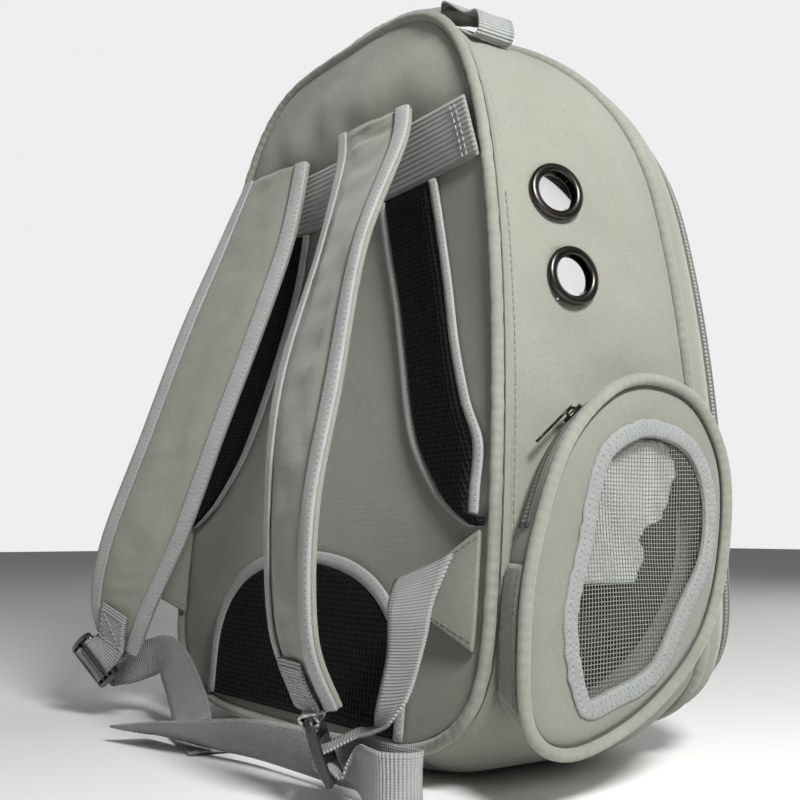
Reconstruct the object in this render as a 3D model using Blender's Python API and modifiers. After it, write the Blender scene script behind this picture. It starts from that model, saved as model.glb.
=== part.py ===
"""Bubble pet carrier backpack: an arched fabric body with a clear dome in its front door,
side air holes, a zipped side pouch with a net window, padded shoulder straps and a top handle.

Metres, +Z up. The back that lies against the wearer faces -Y, the dome faces +Y and the pouch
is on the +X side. The body stands on its flat bottom at z = 0, and the origin is under that flat.
"""
import math

import bmesh
import bpy
from mathutils import Matrix, Vector
from mathutils.bvhtree import BVHTree

# Body
HEIGHT = 0.430
BACK_HALF_WIDTH = 0.169
FRONT_HALF_WIDTH = 0.1715
FOOT_HEIGHT = 0.104
BASE_RISE = 0.012
BASE_DROP = 0.015
BASE_MIDDLE = 0.070
SHOULDER_HEIGHT = 0.292
DEPTH_LOW = 0.155
DEPTH_TOP = 0.063
BACK_LEAN = 0.084
WALL = 0.002
BACK_THICKNESS = 0.004
SIDE_PUFF = 0.004
BACK_HOLLOW = 0.011
TOP_PUFF = 0.007

# Seams, front band and door
PIPING_RADIUS = 0.0032
BAND_DEPTH = 0.021
ZIP_DEPTH = 0.008
DOOR_RIM = 0.010
BAND_TURN = 0.007
ZIP_TURN = 0.010
RIM_TURN = 0.018
DOOR_TURN = 0.030
DOME_HEIGHT = 0.298
DOME_RADIUS = 0.084
DOME_RISE = 0.052
DOME_WALL = 0.0015
DOME_FLANGE = 0.011
DOME_TILT = math.radians(18.0)

# Air holes
HOLE_RADIUS = 0.0108
EYELET_RADIUS = 0.0168
EYELET_LIP = 0.0016
EYELET_BARREL = 0.0014
HOLE_HEIGHTS = (0.256, 0.301)
HOLE_SHARES = (0.375, 0.34)

# Back face
WEB_BAND_LOW = 0.319
WEB_BAND_HIGH = 0.355
WEBBING = 0.0013
NET_PAD = 0.004
EDGE_TAPE = 0.008
TAPE_THICKNESS = 0.0012
LOW_NET_HALF = 0.110
LOW_NET_TOP = 0.114

# Straps
STRAP_WIDTH = 0.066
STRAP_PAD = 0.008
STRAP_TAPE = 0.010
STRAP_TOP = 0.361
STRAP_END = 0.047
STRAP_SPREAD = 0.169
STRAP_STANDOFF = 0.075

# Ladder locks and lower webbing
LOCK_WIDTH = 0.034
LOCK_HEIGHT = 0.032
LOCK_THICKNESS = 0.004
LOCK_BAR = 0.0035
SLOT_PLAY = 0.003
WEB_WIDTH = 0.025
TAB_LENGTH = 0.040
TAB_THICKNESS = 0.0025
TAB_HEIGHT = 0.098
TAB_ROOT = 0.058

# Side pouch
POUCH_WIDTH = 0.142
POUCH_HEIGHT = 0.176
POUCH_BACK = 0.005
POUCH_FOOT = 0.025
POUCH_STAND = 0.0225
POUCH_FACE = max(BACK_HALF_WIDTH, FRONT_HALF_WIDTH) + POUCH_STAND
POUCH_TAPER = 0.88
POUCH_SKIN = 0.0015
POUCH_BULGE = 0.001
ZIP_STATIONS = (3, 15)
FLAP_STATIONS = (-2, 3)
SLIDER_STATION = 6
POUCH_SEAT = 0.0016
NET_THICKNESS = 0.0008
NET_TAPE = 0.009
PULLER_LENGTH = 0.030
PULLER_WIDTH = 0.0045
PULLER_THICKNESS = 0.0014
SLIDER_LENGTH = 0.011
SLIDER_WIDTH = 0.007
SLIDER_THICKNESS = 0.003

# Handle
HANDLE_SPAN = 0.236
HANDLE_RISE = 0.014
HANDLE_PLACE = 0.053
HANDLE_BOW = 0.012
GRIP_LENGTH = 0.176
GRIP_RADIUS = 0.006
GRIP_CREST = 0.0125

# Clearances
GAP = 0.0003
SOFT_GAP = 0.0006
SEAM_GAP = 0.0010
FACE_GAP = 0.0014

ROUND_STEPS = 15
FOOT_STEPS = 6
FOOT_ROUND = 3.85
BACK_ROUND = (1.90, 4.25)
FRONT_ROUND = (2.69, 1.72)
DEPTH_CURVE = 3.2

SAGE = (0.36, 0.38, 0.31)
SAGE_DARK = (0.29, 0.31, 0.25)
TAPE_GREY = (0.46, 0.48, 0.46)
NET_BLACK = (0.012, 0.012, 0.012)
METAL_DARK = (0.07, 0.06, 0.05)
PLASTIC_BLACK = (0.015, 0.015, 0.016)


def clear_scene():
    for item in list(bpy.data.objects):
        bpy.data.objects.remove(item, do_unlink=True)


def make_material(name, colour, roughness, metallic=0.0, transmission=0.0):
    found = bpy.data.materials.get(name)
    if found:
        return found
    mat = bpy.data.materials.new(name)
    mat.use_nodes = True
    shader = mat.node_tree.nodes["Principled BSDF"]
    shader.inputs["Base Color"].default_value = (*colour, 1.0)
    shader.inputs["Roughness"].default_value = roughness
    shader.inputs["Metallic"].default_value = metallic
    shader.inputs["Transmission Weight"].default_value = transmission
    mat.diffuse_color = (*colour, 1.0)
    return mat


def collection(name):
    found = bpy.data.collections.get(name)
    if not found:
        found = bpy.data.collections.new(name)
        bpy.context.scene.collection.children.link(found)
    return found


def place(name, data, mat, group="pet_carrier_backpack"):
    item = bpy.data.objects.new(name, data)
    collection(group).objects.link(item)
    if mat:
        data.materials.append(mat)
    return item


def spread(rows, count, closed=False):
    """Rows of a short table carried to count rows on a smooth curve through them."""
    size = len(rows)
    last = size if closed else size - 1
    result = []
    for index in range(count):
        at = last * index / (count if closed else count - 1)
        start = min(int(at), last - 1)
        share = at - start
        picked = []
        for step in (-1, 0, 1, 2):
            row = start + step
            row = row % size if closed else max(0, min(size - 1, row))
            picked.append(rows[row])
        values = []
        for a, b, c, d in zip(*picked):
            bend = 2 * a - 5 * b + 4 * c - d
            turn = 3 * b - a - 3 * c + d
            values.append(b + 0.5 * share * (c - a + share * (bend + share * turn)))
        result.append(values)
    return result


def mesh_from_grid(name, rows, ring=False, round_across=False):
    """Quads between rows of points. Their normals point along row step x column step."""
    mesh = bpy.data.meshes.new(name)
    work = bmesh.new()
    verts = [[work.verts.new(point) for point in row] for row in rows]
    row_count = len(rows) if ring else len(rows) - 1
    width = len(rows[0])
    col_count = width if round_across else width - 1
    for i in range(row_count):
        below = verts[i]
        above = verts[(i + 1) % len(rows)]
        for j in range(col_count):
            k = (j + 1) % width
            work.faces.new((below[j], above[j], above[k], below[k]))
    for face in work.faces:
        face.smooth = True
    work.to_mesh(mesh)
    work.free()
    return mesh


def sheet(name, rows, thickness, mat, ring=False, side=-1.0):
    """A cloth wall: a grid of points made solid, behind its face, in front of it or both."""
    item = place(name, mesh_from_grid(name, rows, ring), mat)
    solid = item.modifiers.new("thickness", "SOLIDIFY")
    solid.thickness = thickness
    solid.offset = side
    solid.use_even_offset = False
    return item


def tube(name, points, radius, mat, closed=False):
    curve = bpy.data.curves.new(name, "CURVE")
    curve.dimensions = "3D"
    curve.bevel_depth = radius
    curve.bevel_resolution = 1
    curve.use_fill_caps = True
    spline = curve.splines.new("POLY")
    spline.points.add(len(points) - 1)
    for point, co in zip(spline.points, points):
        point.co = (*co, 1.0)
    spline.use_cyclic_u = closed
    spline.use_smooth = True
    return place(name, curve, mat)


def turned(name, profile, steps, mat, matrix):
    """A closed profile of (radius, height) turned about the local Z axis."""
    mesh = bpy.data.meshes.new(name)
    work = bmesh.new()
    verts = [work.verts.new((radius, 0.0, height)) for radius, height in profile]
    for index, vert in enumerate(verts):
        following = verts[(index + 1) % len(verts)]
        if vert.co.x > 1e-6 or following.co.x > 1e-6:
            work.edges.new((vert, following))
    work.to_mesh(mesh)
    work.free()
    item = place(name, mesh, mat)
    item.matrix_world = matrix
    screw = item.modifiers.new("turn", "SCREW")
    screw.axis = "Z"
    screw.steps = steps
    screw.render_steps = steps
    screw.use_merge_vertices = True
    screw.merge_threshold = 0.00005
    screw.use_smooth_shade = True
    screw.use_normal_calculate = False
    screw.use_normal_flip = True
    return item


def box_mesh(name, size):
    mesh = bpy.data.meshes.new(name)
    work = bmesh.new()
    bmesh.ops.create_cube(work, size=1.0)
    bmesh.ops.scale(work, vec=size, verts=work.verts)
    work.to_mesh(mesh)
    work.free()
    return mesh


def cut(item, cutter):
    cutter.hide_render = True
    cutter.display_type = "WIRE"
    boolean = item.modifiers.new(cutter.name, "BOOLEAN")
    boolean.operation = "DIFFERENCE"
    boolean.solver = "EXACT"
    boolean.object = cutter


def frame_matrix(origin, x_axis, z_axis):
    """A placing whose local Z is z_axis and whose local X lies along x_axis."""
    z_dir = z_axis.normalized()
    x_dir = (x_axis - z_dir * x_axis.dot(z_dir)).normalized()
    y_dir = z_dir.cross(x_dir)
    turn = Matrix((x_dir, y_dir, z_dir)).transposed().to_4x4()
    return Matrix.Translation(origin) @ turn


# Body surfaces

def rounded(share, inner, outer):
    return max(0.0, 1.0 - share ** inner) ** (1.0 / outer)


def half_width(height, half, widest, shape):
    """Half width of an arch at a height: straight between its foot and its widest height."""
    if height > widest:
        return half * rounded((height - widest) / (HEIGHT - widest), *shape)
    if height < FOOT_HEIGHT:
        share = min(1.0, (FOOT_HEIGHT - height) / (FOOT_HEIGHT - BASE_RISE))
        return half * rounded(share, FOOT_ROUND, FOOT_ROUND)
    return half


def back_half(height):
    return half_width(height, BACK_HALF_WIDTH, FOOT_HEIGHT, BACK_ROUND)


def front_half(height):
    return half_width(height, FRONT_HALF_WIDTH, SHOULDER_HEIGHT, FRONT_ROUND)


def back_seam(height):
    """The Y of the back seam, whose plane leans forward from the base."""
    return BACK_LEAN * (height - BASE_RISE)


def front_depth(height):
    share = min(1.0, max(0.0, (height - BASE_RISE) / (HEIGHT - BASE_RISE)))
    return DEPTH_LOW - (DEPTH_LOW - DEPTH_TOP) * share ** DEPTH_CURVE


def outline():
    """Half outline from the bottom centre to the top: (height, back half, front half)."""
    rows = []
    for step in range(FOOT_STEPS):
        angle = 0.5 * math.pi * step / FOOT_STEPS
        out = math.sin(angle) ** (2.0 / FOOT_ROUND)
        height = FOOT_HEIGHT - (FOOT_HEIGHT - BASE_RISE) * math.cos(angle) ** (2.0 / FOOT_ROUND)
        rows.append((height, BACK_HALF_WIDTH * out, FRONT_HALF_WIDTH * out))
    for step in range(ROUND_STEPS + 1):
        share = step / ROUND_STEPS
        angle = 0.5 * math.pi * (1.0 - (1.0 - share) ** 1.5)
        rise = math.sin(angle) ** (2.0 / BACK_ROUND[0])
        height = FOOT_HEIGHT + (HEIGHT - FOOT_HEIGHT) * rise
        out = max(0.0, math.cos(angle)) ** (2.0 / BACK_ROUND[1])
        rows.append((height, BACK_HALF_WIDTH * out, front_half(height)))
    rows[0] = (BASE_RISE, 0.0, 0.0)
    rows[-1] = (HEIGHT, 0.0, 0.0)
    return rows


def whole_ring():
    """The outline all the way round: left foot, top, right foot and back along the bottom."""
    half = outline()
    left = [(height, -back, -front) for height, back, front in half]
    return left + half[-2:0:-1]


def inset_ring(pairs, inset):
    """Moves a closed outline of (x, height) pairs inward by a distance."""
    moved = []
    count = len(pairs)
    for index, (x, height) in enumerate(pairs):
        before = pairs[index - 1]
        after = pairs[(index + 1) % count]
        dx = after[0] - before[0]
        dz = after[1] - before[1]
        length = math.hypot(dx, dz)
        moved.append((x + inset * dz / length, height - inset * dx / length))
    return moved


def side_point(back, front, height, share):
    """A point of the side wall between the back seam and the front seam."""
    y_back = back_seam(height) + PIPING_RADIUS + GAP
    y_front = front_depth(height) - PIPING_RADIUS - GAP
    return Vector((back + (front - back) * share, y_back + (y_front - y_back) * share, height))


def swell(share):
    """How far the soft wall stands out between two seams, from 0 at them to 1."""
    edge = min(1.0, 4.0 * share, 4.0 * (1.0 - share))
    return math.sin(0.5 * math.pi * edge)


def wall_rows(ring, shares):
    """The gusset grid over the outline, puffed outward, with a flat bottom."""
    pairs = [(0.5 * (back + front), height) for height, back, front in ring]
    unit = inset_ring(pairs, -1.0)
    rows = []
    for (height, back, front), pair, moved in zip(ring, pairs, unit):
        nx = moved[0] - pair[0]
        nz = moved[1] - pair[1]
        down = max(0.0, -nz)
        up = max(0.0, nz)
        row = []
        for share in shares:
            point = side_point(back, front, height, share)
            puff = (SIDE_PUFF + (BASE_DROP - SIDE_PUFF) * down ** 2) * swell(share)
            puff -= SIDE_PUFF * up ** 2 * swell(share)
            point.x += nx * puff
            point.z = max(0.0, point.z + nz * puff)
            row.append(point)
        rows.append(row)
    return rows


def back_face(x, height):
    """The Y of the back panel's outer face, hollow between the straps, puffed at the top."""
    half = max(0.02, back_half(height))
    across = max(0.0, 1.0 - (x / half) ** 2)
    reach = min(1.0, max(0.0, (height - 0.24 * HEIGHT) / (0.74 * HEIGHT)))
    hollow = BACK_HOLLOW * math.sin(math.pi * reach) ** 2 * across
    rise = min(1.0, max(0.0, (height - WEB_BAND_HIGH - 0.002) / (HEIGHT - WEB_BAND_HIGH)))
    puff = TOP_PUFF * math.sin(math.pi * rise ** 0.6) * across
    return back_seam(height) + hollow - puff


# Body pieces

def make_back_panel():
    ring = whole_ring()
    pairs = inset_ring([(back, height) for height, back, _ in ring], PIPING_RADIUS + GAP)
    half = len(ring) // 2
    rows = []
    for x, height in reversed(pairs[1:half]):
        width = abs(x)
        shares = [1.0 - 2.0 * step / 8 for step in range(9)]
        rows.append([(share * width, back_face(share * width, height), height) for share in shares])
    rows.reverse()
    return sheet("back_panel", rows, BACK_THICKNESS, make_material("sage_fabric", SAGE, 0.8))


def make_gusset():
    ring = whole_ring()
    shares = (0.0, 0.12, 0.3, 0.5, 0.7, 0.88, 1.0)
    rows = wall_rows(ring, shares)
    foot = 3
    fabric = make_material("sage_fabric_side", SAGE, 0.8)
    gusset = sheet("gusset", rows[foot:len(rows) - foot + 1], WALL, fabric)
    bottom = rows[len(rows) - foot:] + rows[1:foot + 1]
    for row, step in ((bottom[0], 1), (bottom[-1], -2)):
        beside = bottom[step]
        for index, point in enumerate(row):
            row[index] = point + (beside[index] - point).normalized() * SEAM_GAP
    sheet("bottom_panel", bottom, WALL, make_material("sage_fabric_base", SAGE_DARK, 0.85))
    return gusset


def make_piping():
    ring = whole_ring()
    fabric = make_material("piping_fabric", SAGE, 0.75)
    back = [(x, back_seam(height), height) for height, x, _ in ring]
    tube("back_piping", back, PIPING_RADIUS, fabric, closed=True)
    front = [(x, front_depth(height), height) for height, _, x in ring]
    tube("front_piping", front, PIPING_RADIUS, fabric, closed=True)


def front_ring(places):
    """Rows of a ring that goes on from the front seam: each place is forward and inward."""
    middle = 0.5 * (HEIGHT + BASE_RISE)
    rows = []
    for height, _, front in whole_ring():
        row = []
        for forward, inward in places:
            x = front * (1.0 - inward / FRONT_HALF_WIDTH)
            z = middle + (height - middle) * (1.0 - inward / (HEIGHT - middle))
            row.append(Vector((x, front_depth(height) + PIPING_RADIUS + GAP + forward, z)))
        rows.append(row)
    return rows


def make_front_band():
    band = front_ring(((0.0, 0.0), (0.5 * BAND_DEPTH, 0.3 * BAND_TURN), (BAND_DEPTH, BAND_TURN)))
    sheet("front_band", band, WALL, make_material("sage_fabric_band", SAGE, 0.8), ring=True)
    start = BAND_DEPTH + SOFT_GAP
    tape = front_ring(((start, BAND_TURN), (start + ZIP_DEPTH, ZIP_TURN)))
    sheet("front_zipper", tape, TAPE_THICKNESS, make_material("zipper_tape", SAGE_DARK, 0.6), ring=True)


def dome_axes():
    up = Vector((0.0, -math.sin(DOME_TILT), math.cos(DOME_TILT)))
    out = Vector((0.0, math.cos(DOME_TILT), math.sin(DOME_TILT)))
    start = PIPING_RADIUS + GAP + BAND_DEPTH + ZIP_DEPTH + SOFT_GAP + 1.5 * SEAM_GAP + DOOR_RIM
    centre = Vector((0.0, front_depth(DOME_HEIGHT) + start + 0.002, DOME_HEIGHT))
    return centre, up, out


def make_front_door():
    """The zipped door: a rim turned in from the zipper and a face that is flat at the dome."""
    start = BAND_DEPTH + ZIP_DEPTH + SOFT_GAP + 1.5 * SEAM_GAP
    front = start + DOOR_RIM
    edge = front_ring(((start, ZIP_TURN), (front - 0.003, RIM_TURN), (front, DOOR_TURN)))
    centre, up, _ = dome_axes()
    opening = DOME_RADIUS - 0.002
    rows = []
    for start_edge, rim, bend in edge:
        angle = math.atan2(bend.z - centre.z, bend.x)
        hole = centre + opening * (math.cos(angle) * Vector((1.0, 0.0, 0.0)) + math.sin(angle) * up)
        rows.append([start_edge, rim, bend, bend.lerp(hole, 0.45), hole])
    fabric = make_material("sage_fabric_door", SAGE, 0.8)
    sheet("front_door", rows, WALL, fabric, ring=True)


def make_dome():
    centre, up, out = dome_axes()
    seat = frame_matrix(centre + out * (GAP + 0.0004), Vector((1.0, 0.0, 0.0)), out)
    clear = make_material("clear_plastic", (0.85, 0.88, 0.88), 0.05, transmission=0.9)
    sphere = (DOME_RADIUS ** 2 + DOME_RISE ** 2) / (2.0 * DOME_RISE)
    steps = 5
    outer = []
    inner = []
    reach = math.asin(min(1.0, DOME_RADIUS / sphere))
    for step in range(steps + 1):
        angle = reach * step / steps
        drop = DOME_RISE - sphere
        outer.append((sphere * math.sin(angle), drop + sphere * math.cos(angle)))
        shell = sphere - DOME_WALL
        inner.append((shell * math.sin(angle), drop + shell * math.cos(angle)))
    flange = DOME_RADIUS + DOME_FLANGE
    inner[-1] = (inner[-1][0], 0.0)
    outer[-1] = (outer[-1][0] + 0.001, DOME_WALL)
    profile = inner + [(flange, 0.0), (flange, DOME_WALL)] + outer[::-1]
    turned("bubble_dome", profile, 24, clear, seat)
    ring = DOME_WALL + GAP
    low = DOME_RADIUS + 0.003
    tape = [(low, ring), (flange, ring), (flange, ring + TAPE_THICKNESS), (low, ring + TAPE_THICKNESS)]
    turned("dome_ring", tape, 24, make_material("grey_tape", TAPE_GREY, 0.7), seat)


def hole_places():
    """Centre and outward direction of each air hole, on both sides."""
    for label, sign in (("right", 1.0), ("left", -1.0)):
        for level, height, share in zip(("low", "high"), HOLE_HEIGHTS, HOLE_SHARES):
            span = 0.006
            points = []
            for dz, ds in ((0.0, 0.0), (span, 0.0), (-span, 0.0), (0.0, 0.04), (0.0, -0.04)):
                z = height + dz
                point = side_point(back_half(z), front_half(z), z, share + ds)
                point.x += SIDE_PUFF * swell(share + ds)
                points.append(point)
            normal = (points[3] - points[4]).cross(points[1] - points[2]).normalized()
            centre = points[0]
            yield f"{label}_{level}", Vector((sign * centre.x, centre.y, centre.z)), \
                Vector((sign * normal.x, normal.y, normal.z))


def make_eyelets(gusset):
    metal = make_material("gunmetal", METAL_DARK, 0.25, metallic=1.0)
    standoff = SOFT_GAP + SEAM_GAP
    barrel = HOLE_RADIUS + EYELET_BARREL
    top = standoff
    low = -WALL - standoff
    lip = EYELET_RADIUS - 0.002
    profile = [(HOLE_RADIUS, top + EYELET_LIP), (EYELET_RADIUS - 0.002, top + EYELET_LIP),
               (EYELET_RADIUS, top), (barrel, top), (barrel, low), (lip, low),
               (lip, low - 0.001), (HOLE_RADIUS, low - 0.001)]
    for name, centre, normal in hole_places():
        seat = frame_matrix(centre, Vector((0.0, 0.0, 1.0)), normal)
        turned(f"eyelet_{name}", profile[::-1], 12, metal, seat)
        mesh = bpy.data.meshes.new(f"cut_{name}")
        work = bmesh.new()
        bmesh.ops.create_cone(work, cap_ends=True, segments=12, radius1=barrel + GAP,
                              radius2=barrel + GAP, depth=0.024)
        work.to_mesh(mesh)
        work.free()
        cutter = place(f"cut_{name}", mesh, None, "cutters")
        cutter.matrix_world = seat
        cut(gusset, cutter)


# Back face pieces

NET_ROWS = (
    # height share of the net's top, inner edge and outer edge as shares of the half width
    (1.000, 0.235, 0.600),
    (0.900, 0.285, 0.655),
    (0.800, 0.355, 0.715),
    (0.700, 0.425, 0.775),
    (0.600, 0.500, 0.860),
    (0.530, 0.575, 0.940),
    (0.460, 0.700, 0.940),
    (0.430, 0.780, 0.940),
    (0.402, 0.880, 0.940),
)


def on_back(x, height, lift):
    return Vector((x, back_face(x, height) - lift, height))


def net_edges(count):
    top = WEB_BAND_LOW - SOFT_GAP
    edges = []
    for share, inner, outer in spread(NET_ROWS, count):
        edges.append((share * top, inner * BACK_HALF_WIDTH, outer * BACK_HALF_WIDTH))
    return edges


def make_side_nets():
    net = make_material("air_net", NET_BLACK, 0.9)
    tape = make_material("grey_tape", TAPE_GREY, 0.7)
    lift = FACE_GAP
    count = 15
    for label, sign in (("right", 1.0), ("left", -1.0)):
        rows = []
        inner_rows = []
        outer_rows = []
        for height, inner, outer in net_edges(count):
            reach = back_half(height) - PIPING_RADIUS - 2.0 * GAP - 0.002
            near = inner + EDGE_TAPE + GAP
            far = outer - EDGE_TAPE - GAP
            taped = outer < reach and far > near + 0.002
            if not taped:
                far = max(near + 0.002, reach)
            xs = [near + (far - near) * share for share in (0.0, 0.33, 0.67, 1.0)]
            rows.append([on_back(sign * x, height, lift) for x in xs])
            tape_xs = (inner, inner + EDGE_TAPE)
            inner_rows.append([on_back(sign * x, height, lift) for x in tape_xs])
            if taped:
                outer_xs = (far + GAP, far + GAP + EDGE_TAPE)
                outer_rows.append([on_back(sign * x, height, lift) for x in outer_xs])
        if sign < 0:
            rows = [row[::-1] for row in rows]
            inner_rows = [row[::-1] for row in inner_rows]
            outer_rows = [row[::-1] for row in outer_rows]
        sheet(f"side_net_{label}", rows, NET_PAD, net, side=1.0)
        sheet(f"net_tape_inner_{label}", inner_rows, TAPE_THICKNESS, tape, side=1.0)
        sheet(f"net_tape_outer_{label}", outer_rows, TAPE_THICKNESS, tape, side=1.0)


def low_arch(half, top, steps):
    """Half width pairs of the low net's arch, from its foot to its crown."""
    foot = BASE_RISE + PIPING_RADIUS + 0.006
    pairs = [(half, foot)]
    for step in range(steps + 1):
        angle = 0.5 * math.pi * step / steps
        height = foot + 0.25 * (top - foot)
        rise = (top - height) * math.sin(angle) ** 0.85
        pairs.append((half * max(0.0, math.cos(angle)) ** 0.8, height + rise))
    return pairs


def make_low_net():
    inner = low_arch(LOW_NET_HALF - EDGE_TAPE - GAP, LOW_NET_TOP - EDGE_TAPE - GAP, 8)
    rows = []
    for half, height in inner[:-1]:
        rows.append([on_back(half * share, height, FACE_GAP) for share in (-1.0, -0.5, 0.0, 0.5, 1.0)])
    rows = rows[::-1]
    sheet("low_net", rows, NET_PAD, make_material("air_net", NET_BLACK, 0.9), side=1.0)
    near = low_arch(LOW_NET_HALF - EDGE_TAPE, LOW_NET_TOP - EDGE_TAPE, 8)
    far = low_arch(LOW_NET_HALF, LOW_NET_TOP, 8)
    tape_rows = []
    for (x_in, z_in), (x_out, z_out) in zip(near, far):
        tape_rows.append([on_back(-x_in, z_in, FACE_GAP), on_back(-x_out, z_out, FACE_GAP)])
    for (x_in, z_in), (x_out, z_out) in list(zip(near, far))[-2::-1]:
        tape_rows.append([on_back(x_in, z_in, FACE_GAP), on_back(x_out, z_out, FACE_GAP)])
    sheet("low_net_tape", tape_rows, TAPE_THICKNESS, make_material("grey_tape", TAPE_GREY, 0.7),
          side=1.0)


def make_web_band():
    rows = []
    steps = 12
    for level in (0.0, 0.5, 1.0):
        height = WEB_BAND_LOW + (WEB_BAND_HIGH - WEB_BAND_LOW) * level
        lift = FACE_GAP + SOFT_GAP + 0.5 * TOP_PUFF * level
        reach = back_half(height) - PIPING_RADIUS - 2.0 * GAP
        xs = [reach * (1.0 - 2.0 * step / steps) for step in range(steps + 1)]
        rows.append([on_back(x, height, lift) for x in xs])
    sheet("webbing_band", rows, WEBBING, make_material("grey_webbing", TAPE_GREY, 0.75), side=1.0)


# Straps

LEFT_STRAP = (
    # drop from top to end, reach across and standoff as shares, twist and tilt of the width
    # in degrees, width share
    (0.00, -0.350, 0.16, 8.0, 0.0, 1.00),
    (0.16, -0.376, 0.29, 21.0, 0.0, 1.00),
    (0.34, -0.414, 0.48, 27.0, 0.0, 1.00),
    (0.56, -0.515, 0.65, 27.0, 0.0, 1.00),
    (0.76, -0.640, 0.77, 29.0, 0.0, 1.00),
    (0.90, -0.768, 0.79, 22.0, -8.0, 0.85),
    (0.98, -0.825, 0.74, 20.0, -22.0, 0.62),
)
RIGHT_STRAP = (
    (0.00, 0.325, 0.15, 4.0, 0.0, 1.00),
    (0.08, 0.381, 0.24, 1.0, 0.0, 1.00),
    (0.28, 0.495, 0.59, -10.0, -6.0, 1.00),
    (0.52, 0.575, 0.87, -3.0, -5.0, 1.00),
    (0.72, 0.640, 1.00, -10.0, 0.0, 1.00),
    (0.90, 0.669, 0.95, -12.0, 0.0, 0.94),
    (1.00, 0.701, 0.77, -6.0, 0.0, 0.66),
)


def tilted(twist, tilt):
    """A direction in the level plane turned by twist, then raised by tilt."""
    flat = math.cos(math.radians(tilt))
    return Vector((math.cos(math.radians(twist)) * flat, math.sin(math.radians(twist)) * flat,
                   math.sin(math.radians(tilt))))


def strap_frames(table, count):
    """Places down a strap: centre, direction across it, outward direction and width."""
    frames = []
    for drop, reach, stand, twist, tilt, wide in spread(table, count):
        height = STRAP_TOP - (STRAP_TOP - STRAP_END) * drop
        lift = max(0.0, stand) * STRAP_STANDOFF
        centre = Vector((reach * STRAP_SPREAD, back_seam(height) - lift, height))
        frames.append([centre, tilted(twist, tilt), None, wide * STRAP_WIDTH])
    for index, frame in enumerate(frames):
        before = frames[max(0, index - 1)][0]
        after = frames[min(count - 1, index + 1)][0]
        frame[2] = frame[1].cross(after - before).normalized()
        if frame[2].y > 0:
            frame[2].negate()
    return frames


def make_straps():
    fabric = make_material("strap_fabric", SAGE, 0.8)
    tape = make_material("grey_tape", TAPE_GREY, 0.7)
    ends = {}
    for label, table in (("left", LEFT_STRAP), ("right", RIGHT_STRAP)):
        frames = strap_frames(table, 16)
        rows = []
        edges = {"outer": [], "inner": []}
        for centre, across, out, width in frames:
            shares = (0.5, 0.17, -0.17, -0.5)
            rows.append([centre + across * (share * width) for share in shares])
            face = centre + out * (0.5 * STRAP_PAD + SOFT_GAP)
            tape_width = STRAP_TAPE * min(1.0, 2.0 * width / STRAP_WIDTH)
            for key, start in (("outer", -0.5 * width), ("inner", 0.5 * width - tape_width)):
                edges[key].append([face + across * (start + tape_width), face + across * start])
        sheet(f"strap_{label}", rows, STRAP_PAD, fabric, side=0.0)
        for key, strip in edges.items():
            sheet(f"strap_tape_{label}_{key}", strip, TAPE_THICKNESS, tape, side=-1.0)
        centre, across, out, width = frames[-1]
        down = (frames[-1][0] - frames[-3][0]).normalized()
        ends[label] = (centre, across, out, down)
    return ends


# Ladder locks, tabs and lower webbing

LOCKS = {
    # top bar from the strap's end, direction across the lock and direction up it
    "left": ((-0.011, -0.008, -0.008), (0.365, 0.514, -0.770), (0.824, -0.135, 0.550)),
    "right": ((-0.001, -0.003, -0.007), (0.788, -0.616, 0.0), (-0.200, -0.260, 0.940)),
}
TABS = {
    # tip from its place in the seam, in tab heights, twist and tilt of the tip's edge
    "left": ((0.02, -0.56, -0.22), -90.0, 30.0),
    "right": ((-0.56, -0.10, 0.00), 40.0, 65.0),
}
LEGS = {
    # share of the way from tab to lock, bow across and bow out in webbing widths,
    # twist and tilt of the width in degrees
    "left": (
        (0.00, 0.00, 0.00, 90.0, -30.0),
        (0.50, -0.05, 0.05, 75.0, -38.0),
        (1.00, 0.00, 0.00, 54.6, -50.4),
    ),
    "right": (
        (0.00, 0.00, 0.10, 22.0, 22.0),
        (0.22, 0.14, 0.14, 24.0, 8.0),
        (0.47, 0.65, 0.20, 5.0, 5.0),
        (0.72, 1.14, 0.38, -2.0, 9.0),
        (0.83, 1.12, 0.35, -12.0, 12.0),
        (0.92, 0.88, 0.20, -25.0, 8.0),
        (1.00, 0.00, 0.00, -38.0, 0.0),
    ),
}
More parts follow.
